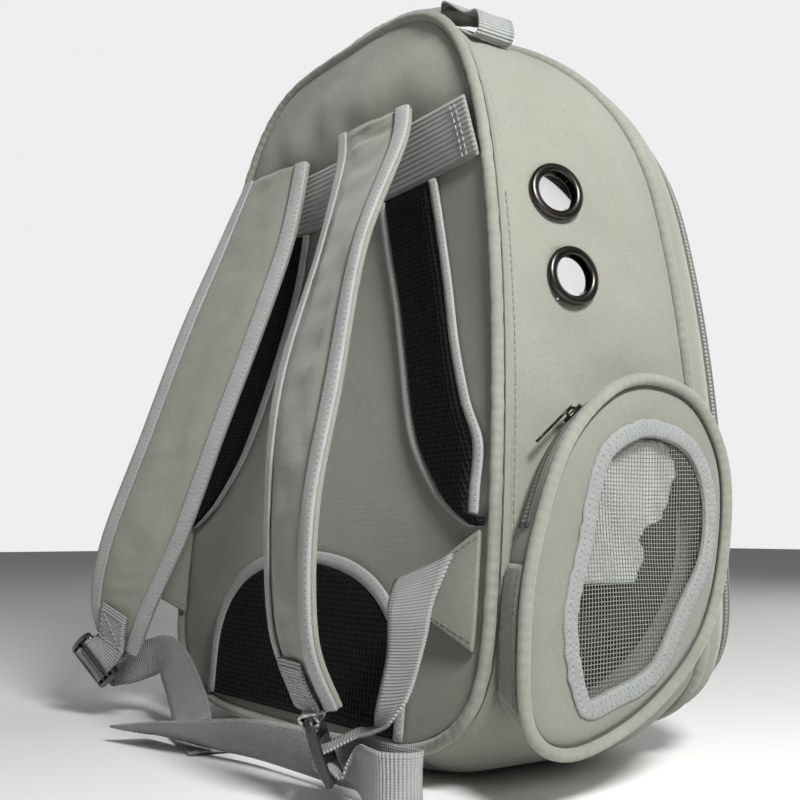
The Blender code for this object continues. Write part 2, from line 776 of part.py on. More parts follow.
# where the lower webbing's folded upper end lies past the tab's tip, and how much wider the
# slanted fold is than the webbing
WEB_FOLDS = {"left": ((0.0, 0.0, 0.0), 0.0), "right": ((0.014, 0.001, 0.011), 0.4)}
TAILS = {
    # place from the lock's centre in webbing widths (across, forward, up), twist and tilt
    "left": (
        (-0.52, 0.42, -0.36, 54.6, -52.0),
        (-0.25, 0.95, -0.25, 54.6, -64.0),
        (0.40, 1.35, 0.00, 54.6, -80.0),
        (1.04, 1.50, 0.16, 54.6, -100.0),
        (1.70, 1.50, -0.04, 54.6, -128.0),
        (2.55, 1.40, -0.52, 54.6, -141.0),
        (3.45, 1.20, -1.00, 60.0, -152.0),
        (4.00, 1.02, -1.40, 70.0, -176.0),
        (5.00, 0.80, -1.50, 76.0, -180.0),
        (5.90, 0.60, -1.50, 78.0, -180.0),
    ),
    "right": (
        (0.22, 0.30, -0.52, -38.0, 8.0),
        (0.55, 0.34, -0.42, -45.0, 45.0),
        (1.00, 0.22, -0.30, -60.0, 78.0),
        (1.60, -0.04, -0.26, -80.0, 90.0),
        (2.15, -0.12, -0.24, -90.0, 90.0),
        (2.45, 0.22, -0.24, -90.0, 90.0),
        (2.20, 0.62, -0.28, -90.0, 90.0),
        (1.20, 0.72, -0.34, -90.0, 88.0),
        (0.20, 0.74, -0.38, -90.0, 86.0),
        (-1.20, 0.68, -0.44, -90.0, 80.0),
        (-2.80, 0.56, -0.50, -90.0, 72.0),
        (-4.00, 0.36, -0.60, -92.0, 58.0),
        (-5.20, 0.00, -0.70, -95.0, 42.0),
        (-6.40, -0.24, -0.80, -98.0, 30.0),
        (-8.00, -0.52, -0.90, -100.0, 12.0),
    ),
}


def ribbon(name, frames, mat):
    """A flat strip along places of (centre, direction across it, width)."""
    rows = []
    for centre, side, width in frames:
        rows.append([centre + side * (0.5 * width), centre - side * (0.5 * width)])
    return sheet(name, rows, WEBBING, mat, side=0.0)


def tab_places(label, sign):
    """Where a webbing tab is sewn in the back seam, and its tip with the tip's direction."""
    offset, twist, tilt = TABS[label]
    lift = GAP + (0.5 if label == "right" else 0.1) * TAB_THICKNESS
    roots = []
    for level in (0.5, 0.17, -0.17, -0.5):
        height = TAB_HEIGHT + level * TAB_ROOT
        x = sign * (back_half(height) - 2.5 * PIPING_RADIUS)
        roots.append(on_back(x, height, lift))
    tip = roots[1].lerp(roots[2], 0.5) + Vector(offset) * TAB_ROOT
    return roots, tip, tilted(twist, tilt)


def make_strap_tabs():
    """Fabric triangles sewn in the back seams, folded double, that carry the lower webbing."""
    fabric = make_material("sage_fabric_tab", SAGE, 0.8)
    for label, sign in (("left", -1.0), ("right", 1.0)):
        roots, tip, edge = tab_places(label, sign)
        tips = [tip + edge * (level * WEB_WIDTH) for level in (0.5, 0.17, -0.17, -0.5)]
        rows = []
        for share in (0.0, 0.33, 0.67, 1.0):
            rows.append([root.lerp(end, share) for root, end in zip(roots, tips)])
        sheet(f"strap_tab_{label}", rows, TAB_THICKNESS, fabric, side=0.0)


def lock_seat(label, strap_end):
    """The placing of a ladder lock: local X across it, Y up and Z away from the back."""
    offset, across, up = LOCKS[label]
    across = Vector(across).normalized()
    out = across.cross(Vector(up)).normalized()
    seat = frame_matrix(strap_end[0] + Vector(offset), across, out)
    return seat @ Matrix.Translation((0.0, 0.5 * (LOCK_BAR - LOCK_HEIGHT), 0.0))


def make_lock(label, seat):
    """A frame of four bars with three slots for the webbing."""
    black = make_material("black_plastic", PLASTIC_BLACK, 0.35)
    size = (LOCK_WIDTH, LOCK_HEIGHT, LOCK_THICKNESS)
    lock = place(f"ladder_lock_{label}", box_mesh(f"ladder_lock_{label}", size), black)
    lock.matrix_world = seat
    slot = (LOCK_HEIGHT - 4.0 * LOCK_BAR) / 3.0
    for index in range(3):
        name = f"cut_lock_{label}_{index}"
        mesh = box_mesh(name, (WEB_WIDTH + SLOT_PLAY, slot, 3.0 * LOCK_THICKNESS))
        cutter = place(name, mesh, None, "cutters")
        cutter.matrix_world = seat @ Matrix.Translation((0.0, (1 - index) * (slot + LOCK_BAR), 0.0))
        cut(lock, cutter)


def lock_route(low, high):
    """Places (up, out) of webbing that loops round the front of a bar between two heights."""
    near = 0.5 * LOCK_THICKNESS + GAP + 0.5 * WEBBING
    turn = 0.5 * WEBBING + 2.0 * GAP
    return ((high + turn, -0.6 * near), (high + turn, 0.6 * near), (high, near + GAP),
            (low, near + GAP), (low - turn, 0.6 * near), (low - turn, -0.6 * near))


def make_end_tab(label, seat, strap_end):
    """Webbing sewn on the strap's end and looped round the lock's top bar."""
    centre, across, out, down = strap_end
    front = 0.5 * STRAP_PAD + SOFT_GAP + TAPE_THICKNESS + 2.0 * GAP + 0.5 * WEBBING
    behind = 0.5 * STRAP_PAD + SOFT_GAP + 0.5 * WEBBING
    lock_across = seat.to_3x3() @ Vector((1.0, 0.0, 0.0))
    top = 0.5 * LOCK_HEIGHT
    near = 0.5 * LOCK_THICKNESS + GAP + 0.5 * WEBBING
    turn = 0.5 * WEBBING + 2.0 * GAP
    low = top - LOCK_BAR - turn
    frames = [(centre - down * 0.6 * TAB_LENGTH + out * (front + 0.0015), across, WEB_WIDTH)]
    frames.append((centre + out * front, across, WEB_WIDTH))
    for up, away in ((top + SEAM_GAP, near + SEAM_GAP), (low + turn, near + GAP), (low, 0.6 * near), (low, -0.6 * near),
                     (low + turn, -near - GAP), (top, -near)):
        frames.append((seat @ Vector((0.0, up, away)), lock_across, WEB_WIDTH))
    frames.append((centre + down * 2.0 * SEAM_GAP - out * 0.4 * behind, across, WEB_WIDTH))
    ribbon(f"strap_end_tab_{label}", frames, make_material("grey_webbing", TAPE_GREY, 0.75))


def make_webbing(label, sign, seat, low):
    """One strip: from its tab up through the lock, round the third bar and down to its end."""
    roots, tip, _ = tab_places(label, sign)
    pitch = (LOCK_HEIGHT - 4.0 * LOCK_BAR) / 3.0 + LOCK_BAR
    across = seat.to_3x3() @ Vector((1.0, 0.0, 0.0))
    entry = seat @ Vector((0.0, 0.0, -0.5 * LOCK_HEIGHT))
    start = tip + (tip - roots[1]).normalized() * (3.0 * SEAM_GAP)
    start.y -= 3.0 * TAB_THICKNESS
    reach, fan = WEB_FOLDS[label]
    start += Vector(reach)
    frames = []
    for share, bow, out, twist, tilt in spread(LEGS[label], 12):
        centre = start.lerp(entry, share)
        centre.x += bow * WEB_WIDTH
        centre.y -= out * WEB_WIDTH
        wider = 1.0 + fan * max(0.0, 1.0 - share / 0.2)
        frames.append((centre, tilted(twist, tilt), wider * WEB_WIDTH))
    for up, away in lock_route(-0.5 * (pitch + LOCK_BAR), -0.5 * (pitch - LOCK_BAR)):
        frames.append((seat @ Vector((0.0, up, away)), across, WEB_WIDTH))
    for x, y, z, twist, tilt in spread(TAILS[label], 26):
        centre = seat.translation + Vector((x, y, z)) * WEB_WIDTH
        side = tilted(twist, tilt)
        level = math.hypot(side.x, side.y)
        under = low + 0.5 * WEBBING * level + 0.5 * WEB_WIDTH * abs(side.z)
        centre.z = max(centre.z, under)
        frames.append((centre, side, WEB_WIDTH))
    ribbon(f"webbing_{label}", frames, make_material("grey_webbing", TAPE_GREY, 0.75))


def make_lower_webbing(strap_ends):
    for label, sign, low in (("left", -1.0, GAP), ("right", 1.0, WEBBING + 2.0 * SEAM_GAP)):
        seat = lock_seat(label, strap_ends[label])
        make_lock(label, seat)
        make_end_tab(label, seat, strap_ends[label])
        make_webbing(label, sign, seat, low)


# Side pouch

POUCH_OUTLINE = (
    # across from back to front and up, as shares of the pouch's width and height
    (0.000, 0.300),
    (0.050, 0.530),
    (0.197, 0.800),
    (0.415, 0.960),
    (0.640, 1.000),
    (0.866, 0.940),
    (0.997, 0.753),
    (0.965, 0.478),
    (0.830, 0.253),
    (0.542, 0.080),
    (0.204, 0.000),
    (0.020, 0.073),
)
WINDOW_OUTLINE = (
    (0.160, 0.330),
    (0.235, 0.545),
    (0.297, 0.720),
    (0.385, 0.825),
    (0.590, 0.885),
    (0.820, 0.835),
    (0.925, 0.685),
    (0.900, 0.490),
    (0.755, 0.320),
    (0.610, 0.170),
    (0.400, 0.105),
    (0.225, 0.100),
)
POUCH_STATIONS = 30


def pouch_outline(table):
    return [(POUCH_BACK + across * POUCH_WIDTH, POUCH_FOOT + up * POUCH_HEIGHT)
            for across, up in spread(table, POUCH_STATIONS, closed=True)]


def scaled(pairs, factor):
    middle_y = POUCH_BACK + 0.5 * POUCH_WIDTH
    middle_z = POUCH_FOOT + 0.5 * POUCH_HEIGHT
    return [(middle_y + (y - middle_y) * factor, middle_z + (z - middle_z) * factor)
            for y, z in pairs]


def side_surface(gusset):
    """Finds the X of the gusset's outer face on the pouch's side, at a (y, z) place."""
    verts = [vert.co.copy() for vert in gusset.data.vertices]
    tree = BVHTree.FromPolygons(verts, [tuple(face.vertices) for face in gusset.data.polygons])

    def find(y, z):
        hit = tree.ray_cast(Vector((1.0, y, z)), Vector((-1.0, 0.0, 0.0)))
        return hit[0].x if hit[0] else FRONT_HALF_WIDTH

    return find


def pouch_wall_rows(side_face, lift, shares):
    """The pouch's edge wall from the side panel out to its face, moved out by lift."""
    outer = inset_ring(pouch_outline(POUCH_OUTLINE), -lift)
    foot = inset_ring(scaled(pouch_outline(POUCH_OUTLINE), POUCH_TAPER), -lift)
    rows = []
    for (y_out, z_out), (y_in, z_in) in zip(outer, foot):
        start = side_face(y_in, z_in) + POUCH_SEAT
        end = POUCH_FACE - PIPING_RADIUS - SEAM_GAP
        rows.append([Vector((start + (end - start) * share, y_in + (y_out - y_in) * share,
                             z_in + (z_out - z_in) * share)) for share in shares])
    return rows


def ring_rows(inner, outer, places):
    """Rows between two closed outlines of (y, z) pairs: each place is a share and an X."""
    rows = []
    for (y_in, z_in), (y_out, z_out) in zip(inner, outer):
        rows.append([Vector((x, y_in + (y_out - y_in) * share, z_in + (z_out - z_in) * share))
                     for share, x in places])
    return rows


def make_pouch(side_face):
    fabric = make_material("pouch_fabric", SAGE, 0.8)
    tape = make_material("grey_tape", TAPE_GREY, 0.7)
    wall = pouch_wall_rows(side_face, 0.0, (0.0, 0.5, 1.0))
    sheet("pouch_wall", wall, POUCH_SKIN, fabric, ring=True, side=1.0)
    rim = pouch_outline(POUCH_OUTLINE)
    tube("pouch_piping", [(POUCH_FACE, y, z) for y, z in rim], PIPING_RADIUS,
         make_material("piping_fabric", SAGE, 0.75), closed=True)
    window = pouch_outline(WINDOW_OUTLINE)
    edge = inset_ring(rim, PIPING_RADIUS + SOFT_GAP)
    hole = inset_ring(window, NET_TAPE)
    places = ((0.0, POUCH_FACE), (0.5, POUCH_FACE + POUCH_BULGE), (1.0, POUCH_FACE + POUCH_BULGE))
    sheet("pouch_face", ring_rows(edge, hole, places), POUCH_SKIN, fabric, ring=True, side=1.0)
    lift = POUCH_FACE + POUCH_BULGE + SOFT_GAP
    sheet("window_tape", ring_rows(inset_ring(window, 0.2 * NET_TAPE), hole, ((0.0, lift), (1.0, lift))),
          TAPE_THICKNESS, tape, ring=True, side=-1.0)
    back = POUCH_FACE + POUCH_BULGE - POUCH_SKIN - SOFT_GAP
    flat_outline("window_net", inset_ring(window, 0.6 * NET_TAPE), NET_THICKNESS,
                 make_material("grey_net", (0.30, 0.33, 0.28), 0.7), back - 0.5 * NET_THICKNESS)
    lining = [(y, min(z, POUCH_FOOT + 0.84 * POUCH_HEIGHT)) for y, z in
              inset_ring(window, NET_TAPE + 0.004) if z > POUCH_FOOT + 0.42 * POUCH_HEIGHT]
    flat_outline("pouch_lining", lining, POUCH_SKIN, make_material("lining", (0.62, 0.63, 0.60), 0.8),
                 back - NET_THICKNESS - SOFT_GAP - 0.5 * POUCH_SKIN)


def flat_outline(name, pairs, thickness, mat, x):
    """A flat outline of (y, z) pairs, parallel to the pouch's face, with a thickness."""
    curve = bpy.data.curves.new(name, "CURVE")
    curve.dimensions = "2D"
    curve.fill_mode = "BOTH"
    curve.extrude = 0.5 * thickness
    spline = curve.splines.new("POLY")
    spline.points.add(len(pairs) - 1)
    for point, (y, z) in zip(spline.points, pairs):
        point.co = (y, z, 0.0, 1.0)
    spline.use_cyclic_u = True
    item = place(name, curve, mat)
    item.matrix_world = frame_matrix(Vector((x, 0.0, 0.0)), Vector((0.0, 1.0, 0.0)),
                                     Vector((1.0, 0.0, 0.0)))
    return item


def make_pouch_zipper(side_face):
    """Zipper tape over the pouch wall, a flap below it, the slider and its long puller."""
    count = POUCH_STATIONS
    whole = pouch_wall_rows(side_face, SOFT_GAP, (0.30, 0.66))
    rows = [whole[index % count] for index in range(*ZIP_STATIONS)]
    sheet("pouch_zipper", rows, TAPE_THICKNESS, make_material("zipper_tape", SAGE_DARK, 0.6),
          side=-1.0)
    whole = pouch_wall_rows(side_face, SOFT_GAP, (0.12, 0.5, 0.86))
    rows = [whole[index % count] for index in range(*FLAP_STATIONS)]
    sheet("pouch_flap", rows, POUCH_SKIN, make_material("pouch_fabric", SAGE, 0.8), side=-1.0)
    whole = pouch_wall_rows(side_face, SOFT_GAP + TAPE_THICKNESS + 1.5 * GAP, (0.30, 0.48, 0.66))
    near = whole[SLIDER_STATION]
    after = whole[SLIDER_STATION + 1]
    along = (after[1] - near[1]).normalized()
    normal = (near[2] - near[0]).cross(along).normalized()
    if normal.z < 0:
        normal.negate()
    metal = make_material("gunmetal", METAL_DARK, 0.25, metallic=1.0)
    centre = near[1].lerp(after[1], 0.5) + normal * (0.5 * SLIDER_THICKNESS)
    seat = frame_matrix(centre, along, normal)
    size = (SLIDER_LENGTH, SLIDER_WIDTH, SLIDER_THICKNESS)
    slider = place("pouch_slider", box_mesh("pouch_slider", size), metal)
    slider.matrix_world = seat
    reach = Vector((0.25 * SLIDER_LENGTH - 0.5 * PULLER_LENGTH, 0.0, 0.0))
    lift = 0.5 * (SLIDER_THICKNESS + PULLER_THICKNESS) + GAP
    size = (PULLER_LENGTH, PULLER_WIDTH, PULLER_THICKNESS)
    puller = place("pouch_puller", box_mesh("pouch_puller", size), metal)
    puller.matrix_world = seat @ Matrix.Translation(reach + Vector((0.0, 0.0, lift)))
    slot = box_mesh("cut_puller", (0.3 * PULLER_LENGTH, 0.45 * PULLER_WIDTH, 0.004))
    cutter = place("cut_puller", slot, None, "cutters")
    cutter.matrix_world = puller.matrix_world @ Matrix.Translation((0.25 * PULLER_LENGTH, 0.0, 0.0))
    cut(puller, cutter)


# Top handle

def top_face(x):
    """The height of the top panel's surface where the handle stands, at a place across."""
    low = SHOULDER_HEIGHT
    high = HEIGHT
    for _ in range(40):
        middle = 0.5 * (low + high)
        y_back = back_seam(middle)
        share = (HANDLE_PLACE - y_back) / (front_depth(middle) - y_back)
        half = back_half(middle) + (front_half(middle) - back_half(middle)) * share
        if half > abs(x):
            low = middle
        else:
            high = middle
    return low


def make_handle():
    """Flat webbing whose middle is wrapped in gathered fabric, sewn to the top at both ends."""
    foot = 0.5 * HANDLE_SPAN
    grip = 0.5 * GRIP_LENGTH
    seat = top_face(foot) + SEAM_GAP
    crest = HEIGHT + GRIP_CREST
    start = top_face(grip) + 3.0 * SEAM_GAP + GRIP_RADIUS
    fold = seat + HANDLE_BOW + 0.5 * HANDLE_RISE
    half = [(grip + 0.0012, start + 0.0007), (foot - 0.008, fold), (foot + 0.003, fold - 0.003),
            (foot + 0.005, seat + 0.5 * HANDLE_BOW), (foot, seat + 0.003),
            (foot - 0.012, top_face(foot - 0.012) + 3.0 * SEAM_GAP)]
    webbing = make_material("grey_webbing", TAPE_GREY, 0.75)
    for label, sign in (("left", -1.0), ("right", 1.0)):
        frames = [(Vector((sign * x, HANDLE_PLACE, z)), Vector((0.0, sign, 0.0)), WEB_WIDTH)
                  for x, z in half]
        ribbon(f"handle_webbing_{label}", frames, webbing)
    points = []
    for step in range(11):
        share = -1.0 + 0.2 * step
        points.append((share * grip, HANDLE_PLACE, start + (crest - start) * (1.0 - share ** 2)))
    tube("handle_grip", points, GRIP_RADIUS, make_material("grip_fabric", SAGE, 0.8))


clear_scene()
GUSSET = make_gusset()
make_back_panel()
make_piping()
make_front_band()
make_front_door()
make_dome()
make_eyelets(GUSSET)
make_side_nets()
make_low_net()
make_web_band()
STRAP_ENDS = make_straps()
make_strap_tabs()
make_lower_webbing(STRAP_ENDS)
SIDE_FACE = side_surface(GUSSET)
make_pouch(SIDE_FACE)
make_pouch_zipper(SIDE_FACE)
make_handle()

for piece in bpy.data.objects:
    piece.matrix_world = Matrix.Translation((0.0, -BASE_MIDDLE, 0.0)) @ piece.matrix_world
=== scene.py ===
"""Looks of a bubble pet carrier backpack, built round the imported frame. Metres, +Z up.

The back that lies against the wearer faces -Y, the dome +Y and the zipped pouch +X.
"""
import math

import bmesh
import bpy
from mathutils import Matrix, Vector, noise
from mathutils.bvhtree import BVHTree


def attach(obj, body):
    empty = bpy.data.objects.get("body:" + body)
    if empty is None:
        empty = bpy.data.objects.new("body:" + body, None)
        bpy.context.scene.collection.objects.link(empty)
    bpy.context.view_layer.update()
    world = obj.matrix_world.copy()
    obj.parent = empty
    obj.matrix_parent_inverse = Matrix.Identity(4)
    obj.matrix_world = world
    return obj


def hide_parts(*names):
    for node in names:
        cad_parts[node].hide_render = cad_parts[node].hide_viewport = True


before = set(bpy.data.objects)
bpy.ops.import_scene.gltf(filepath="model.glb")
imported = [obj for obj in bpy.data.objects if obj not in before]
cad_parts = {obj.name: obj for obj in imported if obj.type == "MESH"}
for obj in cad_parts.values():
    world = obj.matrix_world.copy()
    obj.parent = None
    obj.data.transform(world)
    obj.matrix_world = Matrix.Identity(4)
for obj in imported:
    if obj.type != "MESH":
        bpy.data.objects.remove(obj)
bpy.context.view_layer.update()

# Camera
# A long lens from behind the bag's right side, level with the lower third, looking slightly up.
view = bpy.data.cameras.new("camera")
view.lens = 49.5
view.sensor_width = 36.0
camera = bpy.data.objects.new("camera", view)
camera.location = (0.568, -0.398, 0.126)
camera.rotation_euler = (math.radians(96.744), 0.0, math.radians(54.649))
bpy.context.scene.collection.objects.link(camera)
bpy.context.scene.camera = camera


# Light and floor
# A key from the upper right, weak fills behind and in front, and a pale surround that
# lights the bag less than it shows.
def soft_light(name, place, target, size, power):
    """A round lamp that looks at a target."""
    lamp = bpy.data.lights.new(name, "AREA")
    lamp.shape = "DISK"
    lamp.size = size
    lamp.energy = power
    item = bpy.data.objects.new(name, lamp)
    item.location = place
    item.rotation_euler = (Vector(target) - Vector(place)).to_track_quat("-Z", "Y").to_euler()
    bpy.context.scene.collection.objects.link(item)


soft_light("key_light", (0.82, -0.22, 0.72), (0.15, -0.05, 0.24), 0.24, 13.0)
soft_light("back_fill", (-0.95, -1.3, 1.25), (0.0, 0.0, 0.30), 0.9, 1.8)
soft_light("front_fill", (0.35, 1.6, 1.0), (0.0, 0.1, 0.25), 1.2, 13.0)

SKY_LIGHT = 0.15
SKY_SHOWN = 0.86
world = bpy.data.worlds.new("studio")
world.use_nodes = True
sky = world.node_tree
sky.nodes["Background"].inputs["Color"].default_value = (1.0, 1.0, 1.0, 1.0)
sky_path = sky.nodes.new("ShaderNodeLightPath")
sky_seen = sky.nodes.new("ShaderNodeMath")
sky_seen.operation = "MAXIMUM"
sky.links.new(sky_path.outputs["Is Camera Ray"], sky_seen.inputs[0])
sky.links.new(sky_path.outputs["Is Transmission Ray"], sky_seen.inputs[1])
sky_strength = sky.nodes.new("ShaderNodeMapRange")
sky_strength.inputs["To Min"].default_value = SKY_LIGHT
sky_strength.inputs["To Max"].default_value = SKY_SHOWN
sky.links.new(sky_seen.outputs[0], sky_strength.inputs["Value"])
sky.links.new(sky_strength.outputs["Result"], sky.nodes["Background"].inputs["Strength"])
bpy.context.scene.world = world
bpy.context.scene.view_settings.view_transform = "Standard"

FLOOR_HALF = 6.0
FLOOR_DROP = 0.0002
floor_mesh = bpy.data.meshes.new("floor")
floor_work = bmesh.new()
bmesh.ops.create_grid(floor_work, x_segments=1, y_segments=1, size=FLOOR_HALF)
floor_work.to_mesh(floor_mesh)
floor_work.free()
floor = bpy.data.objects.new("floor", floor_mesh)
floor.location.z = -FLOOR_DROP
bpy.context.scene.collection.objects.link(floor)
floor_paint = bpy.data.materials.new("pale_floor")
floor_paint.use_nodes = True
floor_shader = floor_paint.node_tree.nodes["Principled BSDF"]
floor_shader.inputs["Base Color"].default_value = (0.86, 0.86, 0.85, 1.0)
floor_shader.inputs["Roughness"].default_value = 0.9
floor_mesh.materials.append(floor_paint)


# Back panel
# Sage woven polyester over foam, hollow between the straps and puffed above the webbing band,
# sewn into the back seam all round. Its cloth is the base of every other fabric piece.
BASE_MIDDLE = 0.070  # from the back seam's foot to the origin, under the flat base
HEIGHT = 0.430
BACK_HALF_WIDTH = 0.169
FRONT_HALF_WIDTH = 0.1715
FOOT_HEIGHT = 0.104
BASE_RISE = 0.012
SHOULDER_HEIGHT = 0.292
DEPTH_LOW = 0.155
DEPTH_TOP = 0.063
DEPTH_CURVE = 3.2
BACK_LEAN = 0.084
BACK_THICKNESS = 0.004
BACK_HOLLOW = 0.011
TOP_PUFF = 0.007
WEB_BAND_LOW = 0.319
WEB_BAND_HIGH = 0.355
PIPING_RADIUS = 0.0032
GAP = 0.0003
FOOT_ROUND = 3.85
BACK_ROUND = (1.90, 4.25)
FRONT_ROUND = (2.69, 1.72)
SAGE = (0.228, 0.234, 0.194)


def rounded(share, inner, outer):
    """A rounded corner's reach, 1 to 0, as share goes from 0 to 1."""
    return max(0.0, 1.0 - share ** inner) ** (1.0 / outer)


def half_width(height, half, widest, shape):
    """Half of the body's width at a height, narrowing above the widest place and at the foot."""
    if height > widest:
        return half * rounded(min(1.0, (height - widest) / (HEIGHT - widest)), *shape)
    if height < FOOT_HEIGHT:
        share = min(1.0, (FOOT_HEIGHT - height) / (FOOT_HEIGHT - BASE_RISE))
        return half * rounded(share, FOOT_ROUND, FOOT_ROUND)
    return half


def back_half(height):
    """Half the back seam's width at a height."""
    return half_width(height, BACK_HALF_WIDTH, FOOT_HEIGHT, BACK_ROUND)


def front_half(height):
    """Half the front seam's width at a height."""
    return half_width(height, FRONT_HALF_WIDTH, SHOULDER_HEIGHT, FRONT_ROUND)


def back_seam(height):
    """How far forward the leaning back seam lies."""
    return BACK_LEAN * (height - BASE_RISE)


def front_depth(height):
    """How far forward the front seam lies: deep at the foot, curving back to the top."""
    share = min(1.0, max(0.0, (height - BASE_RISE) / (HEIGHT - BASE_RISE)))
    return DEPTH_LOW - (DEPTH_LOW - DEPTH_TOP) * share ** DEPTH_CURVE


def half_outline(foot_steps, round_steps):
    """(height, back half width, front half width) from the bottom's middle to the top."""
    rows = []
    for step in range(foot_steps):
        angle = 0.5 * math.pi * step / foot_steps
        out = math.sin(angle) ** (2.0 / FOOT_ROUND)
        height = FOOT_HEIGHT - (FOOT_HEIGHT - BASE_RISE) * math.cos(angle) ** (2.0 / FOOT_ROUND)
        rows.append((height, BACK_HALF_WIDTH * out, FRONT_HALF_WIDTH * out))
    for step in range(round_steps + 1):
        share = step / round_steps
        angle = 0.5 * math.pi * (1.0 - (1.0 - share) ** 1.5)
        rise = math.sin(angle) ** (2.0 / BACK_ROUND[0])
        height = FOOT_HEIGHT + (HEIGHT - FOOT_HEIGHT) * rise
        out = max(0.0, math.cos(angle)) ** (2.0 / BACK_ROUND[1])
        rows.append((height, BACK_HALF_WIDTH * out, front_half(height)))
    rows[0] = (BASE_RISE, 0.0, 0.0)
    rows[-1] = (HEIGHT, 0.0, 0.0)
    return rows


def even_ring(count):
    """The whole outline resampled to even steps, from the bottom's middle up the left side."""
    half = half_outline(40, 90)
    ring = [(height, -back, -front) for height, back, front in half]
    ring += half[-2:0:-1]
    lengths = [0.0]
    for before, after in zip(ring, ring[1:] + ring[:1]):
        step = math.hypot(after[0] - before[0], 0.5 * (after[1] - before[1] + after[2] - before[2]))
        lengths.append(lengths[-1] + step)
    ring.append(ring[0])
    picked = []
    at = 0
    for index in range(count):
        goal = lengths[-1] * index / count
        while lengths[at + 1] < goal:
            at += 1
        share = (goal - lengths[at]) / max(1e-9, lengths[at + 1] - lengths[at])
        picked.append(tuple(a + (b - a) * share for a, b in zip(ring[at], ring[at + 1])))
    return picked


def inset_ring(pairs, inset):
    """A closed outline moved inward by a distance."""
    moved = []
    count = len(pairs)
    for index, (x, height) in enumerate(pairs):
        before = pairs[index - 1]
        after = pairs[(index + 1) % count]
        dx = after[0] - before[0]
        dz = after[1] - before[1]
        length = max(1e-9, math.hypot(dx, dz))
        moved.append((x + inset * dz / length, height - inset * dx / length))
    return moved


def cloth_mesh(name, rows, ring=False):
    """Quads between rows of points, with UVs in metres of cloth along and across."""
    mesh = bpy.data.meshes.new(name)
    work = bmesh.new()
    verts = [[work.verts.new(point) for point in row] for row in rows]
    layer = work.loops.layers.uv.new("cloth")
    middle = len(rows[0]) // 2
    along = [0.0]
    for before, after in zip(rows, rows[1:] + rows[:1]):
        along.append(along[-1] + (Vector(after[middle]) - Vector(before[middle])).length)
    across = []
    for row in rows:
        places = [0.0]
        for before, after in zip(row, row[1:]):
            places.append(places[-1] + (Vector(after) - Vector(before)).length)
        across.append([place - places[middle] for place in places])
    last = len(rows) if ring else len(rows) - 1
    for i in range(last):
        k = (i + 1) % len(rows)
        for j in range(len(rows[0]) - 1):
            face = work.faces.new((verts[i][j], verts[k][j], verts[k][j + 1], verts[i][j + 1]))
            face.smooth = True
            spots = ((i, i, j), (k, i + 1, j), (k, i + 1, j + 1), (i, i, j + 1))
            for loop, (row, step, column) in zip(face.loops, spots):
                loop[layer].uv = (across[row][column], along[step])
    work.to_mesh(mesh)
    work.free()
    return mesh


def skin(work, rings, capped=True, smooth=True):
    """Faces from ring to ring of points, closed at both ends."""
    rings = [[work.verts.new(point) for point in ring] for ring in rings]
    for below, above in zip(rings, rings[1:]):
        for step in range(len(below)):
            follow = (step + 1) % len(below)
            face = work.faces.new((below[step], below[follow], above[follow], above[step]))
            face.smooth = smooth
    if capped:
        work.faces.new(rings[0][::-1])
        work.faces.new(rings[-1])


def outward(mesh, work):
    """Turns the worked faces outward and puts them in a mesh."""
    bmesh.ops.recalc_face_normals(work, faces=work.faces)
    work.to_mesh(mesh)
    work.free()
    return mesh


def welded(mesh, reach=1e-7, capped=False):
    """Joins a mesh's doubled points and, where asked, closes its open ends."""
    work = bmesh.new()
    work.from_mesh(mesh)
    bmesh.ops.remove_doubles(work, verts=work.verts, dist=reach)
    if capped:
        bmesh.ops.holes_fill(work, edges=[edge for edge in work.edges if edge.is_boundary])
    return outward(mesh, work)


def add_piece(name, data, finish, *nodes, slot_name):
    """Links a piece, gives it its finish, and lets it stand for its solids in the frame. Sizes
    are measured from the back seam's foot, and the origin is under the flat base."""
    data.transform(Matrix.Translation((0.0, -BASE_MIDDLE, 0.0)))
    item = bpy.data.objects.new(name, data)
    bpy.context.scene.collection.objects.link(item)
    data.materials.append(finish)
    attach(item, "root")
    if nodes:
        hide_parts(*nodes)
    return item


def cloth_piece(name, rows, thickness, finish, *nodes, slot_name, ring=False, side=-1.0):
    """A sheet of cloth through rows of points, thickened to one side or about its middle."""
    item = add_piece(name, cloth_mesh(name, rows, ring), finish, *nodes, slot_name=slot_name)
    solid = item.modifiers.new("thickness", "SOLIDIFY")
    solid.thickness = thickness
    solid.offset = side
    solid.use_even_offset = False
    return item


def tint(colour, by):
    """A lighter or darker shade of a colour."""
    return tuple(by * part for part in colour)


